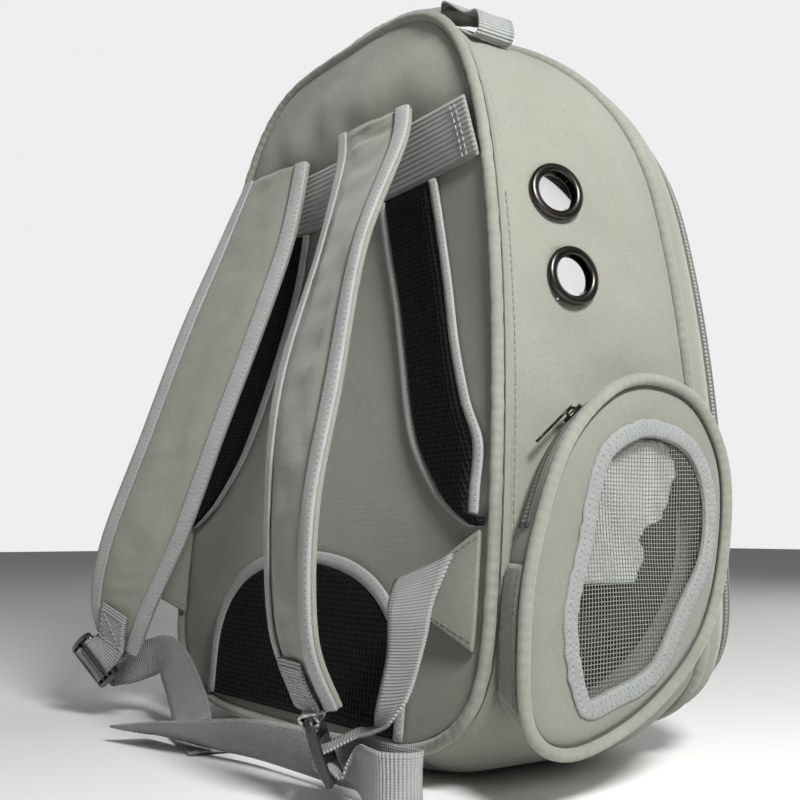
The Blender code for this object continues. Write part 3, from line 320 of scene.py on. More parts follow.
class Shade:
    """A material's node tree with short calls for its nodes."""

    def __init__(self, name, colour, roughness):
        self.material = bpy.data.materials.new(name)
        self.material.use_nodes = True
        self.tree = self.material.node_tree
        self.shader = self.tree.nodes["Principled BSDF"]
        self.shader.inputs["Base Color"].default_value = (*colour, 1.0)
        self.shader.inputs["Roughness"].default_value = roughness
        self.material.diffuse_color = (*colour, 1.0)

    def link(self, value, socket):
        """Feeds a socket with another node's output or with a plain value."""
        if hasattr(value, "is_output"):
            self.tree.links.new(value, socket)
        else:
            socket.default_value = value

    def maths(self, operation, first, second=0.0):
        """One step of arithmetic."""
        node = self.tree.nodes.new("ShaderNodeMath")
        node.operation = operation
        self.link(first, node.inputs[0])
        self.link(second, node.inputs[1])
        return node.outputs[0]

    def cloth_place(self):
        """(across, along) of the cloth in metres, from its UVs."""
        node = self.tree.nodes.new("ShaderNodeUVMap")
        node.uv_map = "cloth"
        parts = self.tree.nodes.new("ShaderNodeSeparateXYZ")
        self.tree.links.new(node.outputs["UV"], parts.inputs[0])
        return parts.outputs["X"], parts.outputs["Y"]

    def body_place(self):
        """The place on the bag in metres."""
        node = self.tree.nodes.new("ShaderNodeTexCoord")
        return node.outputs["Object"]

    def waves(self, place, pitch):
        """0 to 1 and back once every pitch metres."""
        turned = self.maths("MULTIPLY", place, 2.0 * math.pi / pitch)
        return self.maths("MULTIPLY_ADD", self.maths("SINE", turned), 0.5)

    def cloud(self, scale, detail=3.0):
        """Soft noise over the bag, its scale in cells a metre."""
        node = self.tree.nodes.new("ShaderNodeTexNoise")
        node.inputs["Scale"].default_value = scale
        node.inputs["Detail"].default_value = detail
        self.tree.links.new(self.body_place(), node.inputs["Vector"])
        return node.outputs["Fac"]

    def between(self, value, low, high):
        """Maps 0..1 to low..high."""
        node = self.tree.nodes.new("ShaderNodeMapRange")
        self.link(value, node.inputs["Value"])
        node.inputs["To Min"].default_value = low
        node.inputs["To Max"].default_value = high
        return node.outputs["Result"]

    def mix(self, value, first, second):
        """Blends two colours."""
        node = self.tree.nodes.new("ShaderNodeMix")
        node.data_type = "RGBA"
        self.link(value, node.inputs["Factor"])
        for colour, socket in ((first, node.inputs["A"]), (second, node.inputs["B"])):
            if hasattr(colour, "is_output"):
                self.tree.links.new(colour, socket)
            else:
                socket.default_value = (*colour, 1.0)
        return node.outputs["Result"]

    def bump(self, height, depth, before=None):
        """A normal raised by a height of 0 to 1 times a depth in metres."""
        node = self.tree.nodes.new("ShaderNodeBump")
        node.inputs["Strength"].default_value = 1.0
        node.inputs["Distance"].default_value = depth
        self.link(height, node.inputs["Height"])
        if before:
            self.tree.links.new(before, node.inputs["Normal"])
        return node.outputs["Normal"]

    def finish(self, colour=None, roughness=None, normal=None):
        """Feeds the shader and gives back the material."""
        for value, key in ((colour, "Base Color"), (roughness, "Roughness"), (normal, "Normal")):
            if value is not None:
                self.tree.links.new(value, self.shader.inputs[key])
        return self.material


def woven_cloth(name, colour, pitch=0.0009, depth=0.00012, crease=0.0018, sheen=0.25):
    """Plain-woven polyester: two thread directions, melange colour, dust and soft creases."""
    shade = Shade(name, colour, 0.82)
    shade.shader.inputs["Sheen Weight"].default_value = sheen
    shade.shader.inputs["Sheen Roughness"].default_value = 0.5
    across, along = shade.cloth_place()
    warp = shade.waves(across, pitch)
    weft = shade.waves(along, pitch)
    thread = shade.maths("ADD", shade.maths("MULTIPLY", warp, 0.5),
                         shade.maths("MULTIPLY", weft, 0.5))
    melange = shade.cloud(900.0, 2.0)
    patch = shade.cloud(14.0, 4.0)
    dark = tuple(0.78 * channel for channel in colour)
    light = tuple(min(1.0, 1.2 * channel) for channel in colour)
    tone = shade.maths("ADD", shade.maths("MULTIPLY", melange, 0.6),
                       shade.maths("MULTIPLY", patch, 0.4))
    base = shade.mix(shade.between(tone, -0.25, 1.25), dark, light)
    # Painted shade: the hollows between the threads are mixed toward the darker tint.
    shaded_weave = shade.mix(shade.between(thread, 0.0, 0.22), base, dark)
    creased = shade.bump(shade.cloud(26.0, 2.5), crease)
    normal = shade.bump(thread, depth, creased)
    return shade.finish(shaded_weave, shade.between(patch, 0.74, 0.92), normal)


def back_face(x, height):
    """The back's plain face: hollow between the straps, puffed above the webbing band."""
    half = max(0.02, back_half(height))
    across = max(0.0, 1.0 - (x / half) ** 2)
    reach = min(1.0, max(0.0, (height - 0.24 * HEIGHT) / (0.74 * HEIGHT)))
    hollow = BACK_HOLLOW * math.sin(math.pi * reach) ** 2 * across
    rise = min(1.0, max(0.0, (height - WEB_BAND_HIGH - 0.002) / (HEIGHT - WEB_BAND_HIGH)))
    puff = TOP_PUFF * math.sin(math.pi * rise ** 0.6) * across
    return back_seam(height) + hollow - puff


def back_cloth(x, height):
    """The back face with the pillow edge along the piping and its pulled creases."""
    y = back_face(x, height)
    half = max(0.02, back_half(height))
    edge = max(0.0, min(1.0, (half - abs(x)) / 0.02))
    above = max(0.0, min(1.0, (height - WEB_BAND_HIGH - 0.004) / 0.02))
    top_edge = max(0.0, min(1.0, (HEIGHT - height) / 0.02))
    pull = noise.noise(Vector((x * 15.0 + height * 9.0, height * 26.0 - x * 12.0, 0.4))) * 0.0034
    pull += noise.noise(Vector((x * 40.0, height * 60.0, 2.4))) * 0.0009
    fan = math.sin(x * 130.0 + 3.0 * noise.noise(Vector((x * 9.0, 1.7, height * 7.0)))) * 0.0011
    fan *= max(0.0, 1.0 - abs(height - WEB_BAND_HIGH - 0.02) / 0.03)
    return y + above * edge * top_edge * (pull + fan) + (1.0 - edge) ** 2 * 0.0008


sage_cloth = woven_cloth("sage_cloth", SAGE)
SEAM_LAP = 0.0006
BACK_COLUMNS = 48
half_rows = half_outline(14, 44)
left_rows = [(-back, height) for height, back, _ in half_rows]
right_rows = [(back, height) for height, back, _ in half_rows[-2:0:-1]]
back_pairs = inset_ring(left_rows + right_rows, PIPING_RADIUS - SEAM_LAP)
back_rows = []
for pair_x, height in back_pairs[1:len(half_rows) - 1]:
    row = []
    for step in range(BACK_COLUMNS + 1):
        x = abs(pair_x) * (1.0 - 2.0 * step / BACK_COLUMNS)
        row.append((x, back_cloth(x, height), height))
    back_rows.append(row)
cloth_piece("back_cloth", back_rows, BACK_THICKNESS, sage_cloth, "back_panel",
            slot_name="sage_fabric")


# Side wall and bottom
# One strip of the same cloth round the sides and top, soft and unlined, with the base cloth
# under it. It dips round the lower air hole and toward the pouch.
SIDE_PUFF = 0.004
WALL = 0.002
HOLE_HEIGHTS = (0.256, 0.301)
HOLE_SHARES = (0.375, 0.34)
HOLE_RADIUS = 0.0108
SAGE_DARK = (0.18, 0.186, 0.154)
BASE_DROP = 0.015
STATIONS = 264
WALL_SHARES = [0.0, 0.006, 0.012, 0.018, 0.024, 0.030, 0.036, 0.042, 0.050, 0.058, 0.066, 0.078]
WALL_SHARES += [0.10 + 0.0275 * step for step in range(31)] + [0.945, 0.96, 0.975, 0.988, 1.0]


def side_point(back, front, height, share):
    """A place on the side wall's straight line from the back seam to the front seam."""
    y_back = back_seam(height) + PIPING_RADIUS + GAP
    y_front = front_depth(height) - PIPING_RADIUS - GAP
    return Vector((back + (front - back) * share, y_back + (y_front - y_back) * share, height))


def swell(share):
    """0 at both seams, 1 over the wall's middle half."""
    return math.sin(0.5 * math.pi * min(1.0, 4.0 * share, 4.0 * (1.0 - share)))


def hole_places():
    """(name, centre, outward direction) of each air hole on the puffed side wall."""
    for label, sign in (("right", 1.0), ("left", -1.0)):
        for level, height, share in zip(("low", "high"), HOLE_HEIGHTS, HOLE_SHARES):
            points = []
            for dz, ds in ((0.0, 0.0), (0.006, 0.0), (-0.006, 0.0), (0.0, 0.04), (0.0, -0.04)):
                z = height + dz
                point = side_point(back_half(z), front_half(z), z, share + ds)
                point.x += SIDE_PUFF * swell(share + ds)
                points.append(point)
            normal = (points[3] - points[4]).cross(points[1] - points[2]).normalized()
            centre = points[0]
            yield f"{label}_{level}", Vector((sign * centre.x, centre.y, centre.z)), \
                Vector((sign * normal.x, normal.y, normal.z))


HOLES = list(hole_places())


def side_dent(point):
    """How far the cloth sinks at a place: round the holes, toward the pouch, in soft waves."""
    depth = 0.0
    for _, centre, _ in HOLES:
        away = (point - centre).length
        depth += 0.0012 * math.exp(-((away - 0.030) / 0.010) ** 2)
    if 0.17 < point.z < 0.26:
        rise = 1.0 - abs(point.z - 0.212) / 0.045
        depth += 0.0022 * max(0.0, rise) * math.exp(-((point.y - 0.055) / 0.035) ** 2)
    slant = point.z * 17.0 + point.y * 16.0
    sag = noise.noise(Vector((point.x * 3.0, point.y * 24.0 - point.z * 9.0, slant)))
    depth += 0.0026 * (0.5 + sag)
    fold = noise.noise(Vector((point.y * 60.0 + point.z * 35.0, point.z * 12.0, 6.0)))
    depth += 0.0011 * max(0.0, fold)
    return depth


wall_ring = even_ring(STATIONS)
wall_pairs = [(0.5 * (back + front), height) for height, back, front in wall_ring]
wall_moved = inset_ring(wall_pairs, -1.0)
wall_rows = []
for (height, back, front), pair, moved in zip(wall_ring, wall_pairs, wall_moved):
    nx = moved[0] - pair[0]
    nz = moved[1] - pair[1]
    down = max(0.0, -nz)
    up = max(0.0, nz)
    row = []
    for share in WALL_SHARES:
        point = side_point(back, front, height, share)
        puff = (SIDE_PUFF + (BASE_DROP - SIDE_PUFF) * down ** 2) * swell(share)
        puff -= SIDE_PUFF * up ** 2 * swell(share)
        soft = (1.0 - down ** 2) * swell(share)
        puff -= soft * side_dent(point)
        welt = 0.0012 * math.exp(-((share - 0.030) / 0.009) ** 2)
        welt -= 0.0007 * math.exp(-((share - 0.054) / 0.007) ** 2)
        puff += (1.0 - down ** 2) * welt
        point.x += nx * puff
        point.z = max(0.0006, point.z + nz * puff)
        row.append(point)
    wall_rows.append(row)

side_cloth = woven_cloth("side_cloth", SAGE, crease=0.0024)
base_cloth = woven_cloth("base_cloth", SAGE_DARK)
BOTTOM_TOP = 0.0165  # the base cloth turns up to this height
bottom_rows = []
for index, row in enumerate(wall_rows[STATIONS // 2:] + wall_rows[:STATIONS // 2 + 1]):
    if row[0].z < BOTTOM_TOP and abs(index - STATIONS // 2) < STATIONS // 4:
        bottom_rows.append(row)
half_bottom = len(bottom_rows) // 2
side_rows = wall_rows[half_bottom:STATIONS - half_bottom + 1]
side_wall = cloth_piece("side_wall", side_rows, WALL, side_cloth, "gusset",
                        slot_name="sage_fabric_side")
cloth_piece("bottom_cloth", bottom_rows, WALL, base_cloth, "bottom_panel",
            slot_name="sage_fabric_base")
HOLE_CUT = HOLE_RADIUS + 0.0022  # the cloth's cut edge lies under the metal rim
HOLE_DEPTH = 0.03  # the other side's cloth is further away
hole_work = bmesh.new()
hole_work.from_mesh(side_wall.data)
cut_out = []
for face in hole_work.faces:
    centre = face.calc_center_median() + Vector((0.0, BASE_MIDDLE, 0.0))
    for _, middle, normal in HOLES:
        away = centre - middle
        away -= normal * away.dot(normal)
        if away.length < HOLE_CUT and (centre - middle).length < HOLE_DEPTH:
            cut_out.append(face)
            break
bmesh.ops.delete(hole_work, geom=cut_out, context="FACES")
hole_work.to_mesh(side_wall.data)
hole_work.free()


# Piping
# Bias-cut cloth over a cord, sewn into the back seam, the front seam and the pouch's edge.
CORD_SIDES = 16


def smooth_tube(name, points, radius, finish, *nodes, slot_name, closed=True):
    """A round cord of cloth along points, with UVs in metres."""
    count = len(points)
    rows = []
    normal = None
    for index, point in enumerate(points):
        before = points[index - 1] if closed or index else points[0]
        after = points[(index + 1) % count] if closed or index < count - 1 else points[-1]
        along = (Vector(after) - Vector(before)).normalized()
        if normal is None:
            normal = along.orthogonal().normalized()
        normal = (normal - along * normal.dot(along)).normalized()
        side = along.cross(normal)
        ring = []
        for step in range(CORD_SIDES + 1):
            angle = 2.0 * math.pi * step / CORD_SIDES
            ring.append(Vector(point) + (normal * math.cos(angle) + side * math.sin(angle)) * radius)
        rows.append(ring)
    mesh = welded(cloth_mesh(name, rows, ring=closed), capped=not closed)
    return add_piece(name, mesh, finish, *nodes, slot_name=slot_name)


def piping_cloth(name, colour):
    """Cloth on the bias round a cord: slanting threads and small gathers along the seam."""
    shade = Shade(name, colour, 0.78)
    shade.shader.inputs["Sheen Weight"].default_value = 0.25
    across, along = shade.cloth_place()
    slant = shade.maths("ADD", across, along)
    thread = shade.waves(slant, 0.0011)
    gather = shade.waves(along, 0.006)
    patch = shade.cloud(40.0, 3.0)
    base = shade.mix(shade.between(patch, -0.1, 1.1), tint(colour, 0.8), tint(colour, 1.18))
    # Painted shade: the hollows between the slanting threads are darkened.
    shaded_weave = shade.mix(shade.between(thread, 0.0, 0.2), base, tint(colour, 0.6))
    puckered = shade.bump(shade.maths("MULTIPLY", gather, patch), 0.0005)
    return shade.finish(shaded_weave, None, shade.bump(thread, 0.00012, puckered))


piping_finish = piping_cloth("piping_cloth", (0.235, 0.241, 0.200))
pipe_ring = even_ring(300)
back_line = []
front_line = []
for index, (height, back, front) in enumerate(pipe_ring):
    wave = 0.0003 * math.sin(index * 1.9) * math.sin(index * 0.31)
    back_line.append(Vector((back, back_seam(height) + wave, height)))
    front_line.append(Vector((front, front_depth(height) + wave, height)))
smooth_tube("back_piping_cord", back_line, PIPING_RADIUS, piping_finish, "back_piping",
            slot_name="piping_fabric")
smooth_tube("front_piping_cord", front_line, PIPING_RADIUS, piping_finish, "front_piping",
            slot_name="piping_fabric")


# Front band, zipper and door
# Past the front seam come a 2 cm band, the coil zipper round the whole door, and the door's
# own rim turned in to a flat face with the dome's round opening.
BAND_DEPTH = 0.021
ZIP_DEPTH = 0.008
DOOR_RIM = 0.010
BAND_TURN = 0.007
ZIP_TURN = 0.010
RIM_TURN = 0.018
DOOR_TURN = 0.030
SOFT_GAP = 0.0006
SEAM_GAP = 0.0010
DOME_HEIGHT = 0.298
DOME_RADIUS = 0.084
DOME_TILT = math.radians(18.0)
FRONT_STATIONS = 220
ZIP_COLOUR = (0.16, 0.168, 0.145)


def front_ring(places):
    """Rows round the front opening, each along a profile of (forward, inward) places."""
    middle = 0.5 * (HEIGHT + BASE_RISE)
    rows = []
    for height, _, front in even_ring(FRONT_STATIONS):
        row = []
        for forward, inward in places:
            x = front * (1.0 - inward / FRONT_HALF_WIDTH)
            z = middle + (height - middle) * (1.0 - inward / (HEIGHT - middle))
            row.append(Vector((x, front_depth(height) + PIPING_RADIUS + GAP + forward, z)))
        rows.append(row)
    return rows


def curve_places(places, count):
    """A short profile carried to count places on a smooth curve through them."""
    result = []
    last = len(places) - 1
    for index in range(count):
        at = last * index / (count - 1)
        start = min(int(at), last - 1)
        share = at - start
        picked = [places[max(0, min(last, start + step))] for step in (-1, 0, 1, 2)]
        values = []
        for a, b, c, d in zip(*picked):
            bend = 2 * a - 5 * b + 4 * c - d
            turn = 3 * b - a - 3 * c + d
            values.append(b + 0.5 * share * (c - a + share * (bend + share * turn)))
        result.append(tuple(values))
    return result


def zipper_cloth(name, colour, middle, coil_half, pitch=0.0022):
    """Zipper tape with its coil: round ridges across a narrow raised middle line."""
    shade = Shade(name, colour, 0.55)
    across, along = shade.cloth_place()
    away = shade.maths("ABSOLUTE", shade.maths("SUBTRACT", across, middle))
    on_coil = shade.maths("LESS_THAN", away, coil_half)
    turns = shade.waves(along, pitch)
    lift = shade.maths("MULTIPLY", on_coil, shade.maths("ADD", turns, 0.6))
    tape = shade.waves(along, 0.0009)
    height = shade.maths("ADD", lift, shade.maths("MULTIPLY", tape, 0.12))
    # Painted highlight and shade: the coil is lighter on the crests of its turns and darker between
    # them.
    base = shade.mix(shade.maths("MULTIPLY", on_coil, shade.between(turns, 0.2, 1.0)),
                     tint(colour, 0.55), tint(colour, 1.5))
    return shade.finish(base, shade.between(on_coil, 0.8, 0.42), shade.bump(height, 0.0005))


band_places = curve_places([(0.0, 0.0004), (0.5 * BAND_DEPTH, 0.3 * BAND_TURN - 0.0012),
                            (BAND_DEPTH, BAND_TURN)], 12)
band_cloth = woven_cloth("band_cloth", SAGE)
cloth_piece("front_band_cloth", front_ring(band_places), WALL, band_cloth, "front_band",
            slot_name="sage_fabric_band", ring=True)
zip_start = BAND_DEPTH + SOFT_GAP
zip_places = curve_places([(zip_start - 0.0008, BAND_TURN), (zip_start + 0.5 * ZIP_DEPTH, 0.0078),
                           (zip_start + ZIP_DEPTH + 0.0008, ZIP_TURN)], 9)
front_zip = zipper_cloth("front_zipper_tape", ZIP_COLOUR, 0.0, 0.0019)
cloth_piece("front_zipper_coil", front_ring(zip_places), 0.0012, front_zip, "front_zipper",
            slot_name="zipper_tape", ring=True)

door_start = BAND_DEPTH + ZIP_DEPTH + SOFT_GAP + 1.5 * SEAM_GAP
door_front = door_start + DOOR_RIM
dome_up = Vector((0.0, -math.sin(DOME_TILT), math.cos(DOME_TILT)))
dome_out = Vector((0.0, math.cos(DOME_TILT), math.sin(DOME_TILT)))
dome_depth = PIPING_RADIUS + GAP + door_front + 0.002
dome_centre = Vector((0.0, front_depth(DOME_HEIGHT) + dome_depth, DOME_HEIGHT))
rim_places = curve_places([(door_start, ZIP_TURN), (door_front - 0.003, RIM_TURN),
                           (door_front, DOOR_TURN)], 9)
door_rows = []
for row in front_ring(rim_places):
    bend = row[-1]
    angle = math.atan2(bend.z - dome_centre.z, bend.x)
    hole = dome_centre + (DOME_RADIUS - 0.002) * (math.cos(angle) * Vector((1.0, 0.0, 0.0))
                                                  + math.sin(angle) * dome_up)
    door = list(row)
    for step in range(1, 19):
        share = step / 18
        point = bend.lerp(hole, share)
        dip = noise.noise(Vector((point.x * 16.0, 0.3, point.z * 16.0))) * 0.0010
        point.y += dip * math.sin(math.pi * share)
        door.append(point)
    door_rows.append(door)
door_cloth = woven_cloth("door_cloth", SAGE)
cloth_piece("front_door_cloth", door_rows, WALL, door_cloth, "front_door",
            slot_name="sage_fabric_door", ring=True)


# Dome
# A blown clear acrylic bubble with a flat flange, held to the door by a sewn tape ring.
DOME_RISE = 0.052
DOME_WALL = 0.0015
DOME_FLANGE = 0.011
TAPE_GREY = (0.33, 0.345, 0.335)


def frame_matrix(origin, x_axis, z_axis):
    """A seat with local X as near as can be to one direction and local Z along another."""
    z_dir = z_axis.normalized()
    x_dir = (x_axis - z_dir * x_axis.dot(z_dir)).normalized()
    y_dir = z_dir.cross(x_dir)
    turn = Matrix((x_dir, y_dir, z_dir)).transposed().to_4x4()
    return Matrix.Translation(origin) @ turn


def turned_mesh(name, profile, steps, seat):
    """A closed (radius, height) profile turned about the seat's Z axis."""
    rows = []
    points = profile + [profile[0]]
    for step in range(steps):
        angle = 2.0 * math.pi * step / steps
        rows.append([seat @ Vector((radius * math.cos(angle), radius * math.sin(angle), height))
                     for radius, height in points])
    return welded(cloth_mesh(name, rows, ring=True), reach=1e-6)


def clear_acrylic(name):
    """Clear plastic with faint ripples and a little haze."""
    shade = Shade(name, (0.97, 0.985, 0.985), 0.03)
    shade.shader.inputs["Transmission Weight"].default_value = 1.0
    shade.shader.inputs["IOR"].default_value = 1.49
    haze = shade.cloud(18.0, 5.0)
    return shade.finish(None, shade.between(haze, 0.015, 0.06), shade.bump(haze, 0.00012))


dome_seat = frame_matrix(dome_centre + dome_out * 0.0007, Vector((1.0, 0.0, 0.0)), dome_out)
sphere = (DOME_RADIUS ** 2 + DOME_RISE ** 2) / (2.0 * DOME_RISE)
dome_reach = math.asin(min(1.0, DOME_RADIUS / sphere))
dome_outer = []
dome_inner = []
for step in range(25):
    angle = dome_reach * step / 24
    dome_outer.append((sphere * math.sin(angle), DOME_RISE - sphere + sphere * math.cos(angle)))
    shell = sphere - DOME_WALL
    dome_inner.append((shell * math.sin(angle), DOME_RISE - sphere + shell * math.cos(angle)))
# the two skins end on the flange's faces
dome_inner[-1] = (dome_inner[-1][0], 0.0)
dome_outer[-1] = (dome_outer[-1][0] + 0.001, DOME_WALL)
flange = DOME_RADIUS + DOME_FLANGE
dome_profile = dome_inner + [(flange, 0.0), (flange, DOME_WALL)] + dome_outer[::-1]
add_piece("clear_dome", turned_mesh("clear_dome", dome_profile, 96, dome_seat),
          clear_acrylic("clear_acrylic"), "bubble_dome", slot_name="clear_plastic")


# Binding tape
# Light grey grosgrain about a centimetre wide, with a row of stitches along each edge.
def stitched_tape(name, colour, half, rib=0.0010, stitch=0.0032, inset=0.0016):
    """Fine ribs across the tape and a line of sunk stitches near both edges."""
    shade = Shade(name, colour, 0.72)
    shade.shader.inputs["Sheen Weight"].default_value = 0.2
    across, along = shade.cloth_place()
    ribs = shade.waves(along, rib)
    patch = shade.cloud(60.0, 3.0)
    away = shade.maths("SUBTRACT", shade.maths("ABSOLUTE", across), half - inset)
    on_line = shade.maths("LESS_THAN", shade.maths("ABSOLUTE", away), 0.00045)
    dash = shade.maths("GREATER_THAN", shade.waves(along, stitch), 0.28)
    thread = shade.maths("MULTIPLY", on_line, dash)
    hollow = shade.maths("SUBTRACT", on_line, thread)
    base = shade.mix(shade.between(patch, -0.1, 1.1), tint(colour, 0.84),
                     tuple(min(1.0, 1.14 * c) for c in colour))
    # Painted shade: the hollows between the ribs are darkened.
    base = shade.mix(shade.between(ribs, 0.0, 0.3), base, tint(colour, 0.62))
    # Painted shade: the sunk stitch holes between the dashes are darkened.
    base = shade.mix(shade.maths("MULTIPLY", hollow, 0.55), base, tint(colour, 0.4))
    base = shade.mix(shade.maths("MULTIPLY", thread, 0.6), base,
                     tuple(min(1.0, 1.2 * c) for c in colour))
    height = shade.maths("ADD", shade.maths("MULTIPLY", ribs, 0.35),
                         shade.maths("MULTIPLY", thread, 0.9))
    height = shade.maths("SUBTRACT", height, shade.maths("MULTIPLY", hollow, 0.9))
    return shade.finish(base, shade.between(patch, 0.62, 0.8), shade.bump(height, 0.00035))


dome_tape = stitched_tape("dome_tape", TAPE_GREY, 0.004)
low_ring = DOME_RADIUS + 0.003
tape_base = DOME_WALL + GAP
ring_profile = [(low_ring, tape_base), (low_ring, tape_base + 0.0009),
                (low_ring + 0.0006, tape_base + 0.0013), (flange - 0.0006, tape_base + 0.0013),
                (flange, tape_base + 0.0009), (flange, tape_base)]
add_piece("dome_tape_ring", turned_mesh("dome_tape_ring", ring_profile, 96, dome_seat),
          dome_tape, "dome_ring", slot_name="grey_tape")


# Air holes
# Pressed metal eyelets, two on each side, rolled over the cloth on both faces.
EYELET_RADIUS = 0.0159
EYELET_CROWN = 0.0023
EYELET_SINK = 0.0004
GUNMETAL = (0.045, 0.041, 0.036)


def dark_metal(name, colour):
    """Dark plated metal, a little lighter in patches of wear."""
    shade = Shade(name, colour, 0.28)
    shade.shader.inputs["Metallic"].default_value = 1.0
    patch = shade.cloud(180.0, 4.0)
    wear = shade.cloud(35.0, 5.0)
    base = shade.mix(shade.between(wear, -0.2, 1.0), tint(colour, 0.8), tint(colour, 1.9))
    return shade.finish(base, shade.between(patch, 0.2, 0.42), shade.bump(patch, 0.00005))


gunmetal = dark_metal("gunmetal_plate", GUNMETAL)
back_plate = -WALL - 0.0016
for name, centre, normal in HOLES:
    seat = frame_matrix(centre, Vector((0.0, 0.0, 1.0)), normal)
    middle = 0.5 * (HOLE_RADIUS + EYELET_RADIUS)
    profile = []
    for step in range(13):
        angle = math.pi * step / 12
        radius = middle - math.cos(angle) * 0.5 * (EYELET_RADIUS - HOLE_RADIUS)
        profile.append((radius, EYELET_CROWN * math.sin(angle) ** 0.7 - EYELET_SINK))
    profile += [(EYELET_RADIUS - 0.0006, -0.0006 - EYELET_SINK),
                (HOLE_RADIUS + 0.0014, -0.0002 - EYELET_SINK),
                (HOLE_RADIUS + 0.0014, back_plate),
                (EYELET_RADIUS - 0.002, back_plate),
                (EYELET_RADIUS - 0.002, back_plate - 0.0010),
                (HOLE_RADIUS + 0.0004, back_plate - 0.0012),
                (HOLE_RADIUS, back_plate)]
    add_piece(f"air_hole_{name}", turned_mesh(f"air_hole_{name}", profile, 48, seat),
              gunmetal, f"eyelet_{name}", slot_name="gunmetal")


# Back nets
# Black spacer mesh, a few millimetres thick, on both sides of the back and in the low arch,
# each bound with sewn grey tape.
NET_PAD = 0.004
EDGE_TAPE = 0.008
TAPE_THICKNESS = 0.0012
FACE_GAP = 0.0014
LOW_NET_HALF = 0.110
LOW_NET_TOP = 0.114
NET_CLOTH = 0.0015
NET_ROWS = (
    # share of the net's height, and its inner and outer edge as shares of the half width
    (1.000, 0.235, 0.600),
    (0.900, 0.285, 0.655),
    (0.800, 0.355, 0.715),
    (0.700, 0.425, 0.775),
    (0.600, 0.500, 0.860),
    (0.530, 0.575, 0.940),
    (0.460, 0.700, 0.940),
    (0.430, 0.780, 0.940),
    (0.402, 0.880, 0.940),
)


def air_mesh(name):
    """Black spacer mesh: staggered round openings between glossy knitted cords."""
    shade = Shade(name, (0.008, 0.008, 0.008), 0.6)
    shade.shader.inputs["Specular IOR Level"].default_value = 0.12
    across, along = shade.cloth_place()
    place = shade.tree.nodes.new("ShaderNodeCombineXYZ")
    shade.tree.links.new(across, place.inputs[0])
    shade.tree.links.new(along, place.inputs[1])
    cells = shade.tree.nodes.new("ShaderNodeTexVoronoi")
    cells.inputs["Scale"].default_value = 330.0
    cells.inputs["Randomness"].default_value = 0.18
    shade.tree.links.new(place.outputs[0], cells.inputs["Vector"])
    away = cells.outputs["Distance"]
    # Painted shade: the round openings are darker than the cords between them.
    cord_line = shade.between(away, -0.35, 1.6)
    base = shade.mix(cord_line, (0.0008, 0.0008, 0.0008), (0.010, 0.011, 0.010))
    return shade.finish(base, shade.between(away, 0.9, 0.35), shade.bump(away, 0.0012))


def on_back(x, height, lift):
    """A place lifted off the back's face, toward the wearer."""
    return Vector((x, back_face(x, height) - lift, height))


def taped_edge(places):
    """A row of raised binding through (x, height) places."""
    last = len(places) - 1
    return [on_back(x, height, FACE_GAP + NET_PAD * 0.35 + 0.0012 * math.sin(math.pi * step / last))
            for step, (x, height) in enumerate(places)]


def soft_edge(rows, depth):
    """Rolls a flat pad's border in toward its backing, so that it has a pillow edge."""
    count = len(rows)
    width = len(rows[0])
    for i, row in enumerate(rows):
        for j in range(width):
            edge = min(j, width - 1 - j) / (0.16 * width)
            end = min(i, count - 1 - i) / (0.05 * count)
            lift = min(1.0, edge, end)
            row[j] = row[j] + Vector((0.0, depth * (1.0 - math.sin(0.5 * math.pi * lift)), 0.0))
    return rows


net_black = air_mesh("air_mesh")
edge_tape = stitched_tape("edge_tape", TAPE_GREY, 0.5 * EDGE_TAPE)
net_top = WEB_BAND_LOW - SOFT_GAP
for label, sign in (("right", 1.0), ("left", -1.0)):
    rows = []
    inner_rows = []
    outer_rows = []
    for share, inner, outer in curve_places(NET_ROWS, 61):
        height = share * net_top
        inner *= BACK_HALF_WIDTH
        outer *= BACK_HALF_WIDTH
        reach = back_half(height) - PIPING_RADIUS - 2.0 * GAP - 0.002
        near = inner + EDGE_TAPE + GAP
        far = outer - EDGE_TAPE - GAP
        taped = outer < reach and far > near + 0.002
        if not taped:
            far = max(near + 0.002, reach)
        rows.append([on_back(sign * (near - 0.001 + (far - near + 0.002) * step / 24), height,
                             FACE_GAP + NET_PAD) for step in range(25)])
        inner_rows.append(taped_edge([(sign * (inner + EDGE_TAPE * step / 6), height)
                                      for step in range(7)]))
        if taped:
            outer_rows.append(taped_edge([(sign * (far + GAP + EDGE_TAPE * step / 6), height)
                                          for step in range(7)]))
    rows = soft_edge(rows, 0.8 * NET_PAD)
    if sign < 0:
        rows = [row[::-1] for row in rows]
        inner_rows = [row[::-1] for row in inner_rows]
        outer_rows = [row[::-1] for row in outer_rows]
    cloth_piece(f"side_mesh_{label}", rows, NET_CLOTH, net_black, f"side_net_{label}",
                slot_name="air_net")
    for edge, taped_rows in (("inner", inner_rows), ("outer", outer_rows)):
        cloth_piece(f"mesh_binding_{edge}_{label}", taped_rows, TAPE_THICKNESS, edge_tape,
                    f"net_tape_{edge}_{label}", slot_name="grey_tape")


def low_arch(half, top, steps):
    """(half width, height) up one side of the low net's arch, to the middle of its top."""
    foot = BASE_RISE + PIPING_RADIUS + 0.006
    pairs = []
    for step in range(5):
        pairs.append((half, foot + 0.25 * (top - foot) * step / 5))
    for step in range(steps + 1):
        angle = 0.5 * math.pi * step / steps
        height = foot + 0.25 * (top - foot)
        rise = (top - height) * math.sin(angle) ** 0.85
        pairs.append((half * max(0.0, math.cos(angle)) ** 0.8, height + rise))
    return pairs


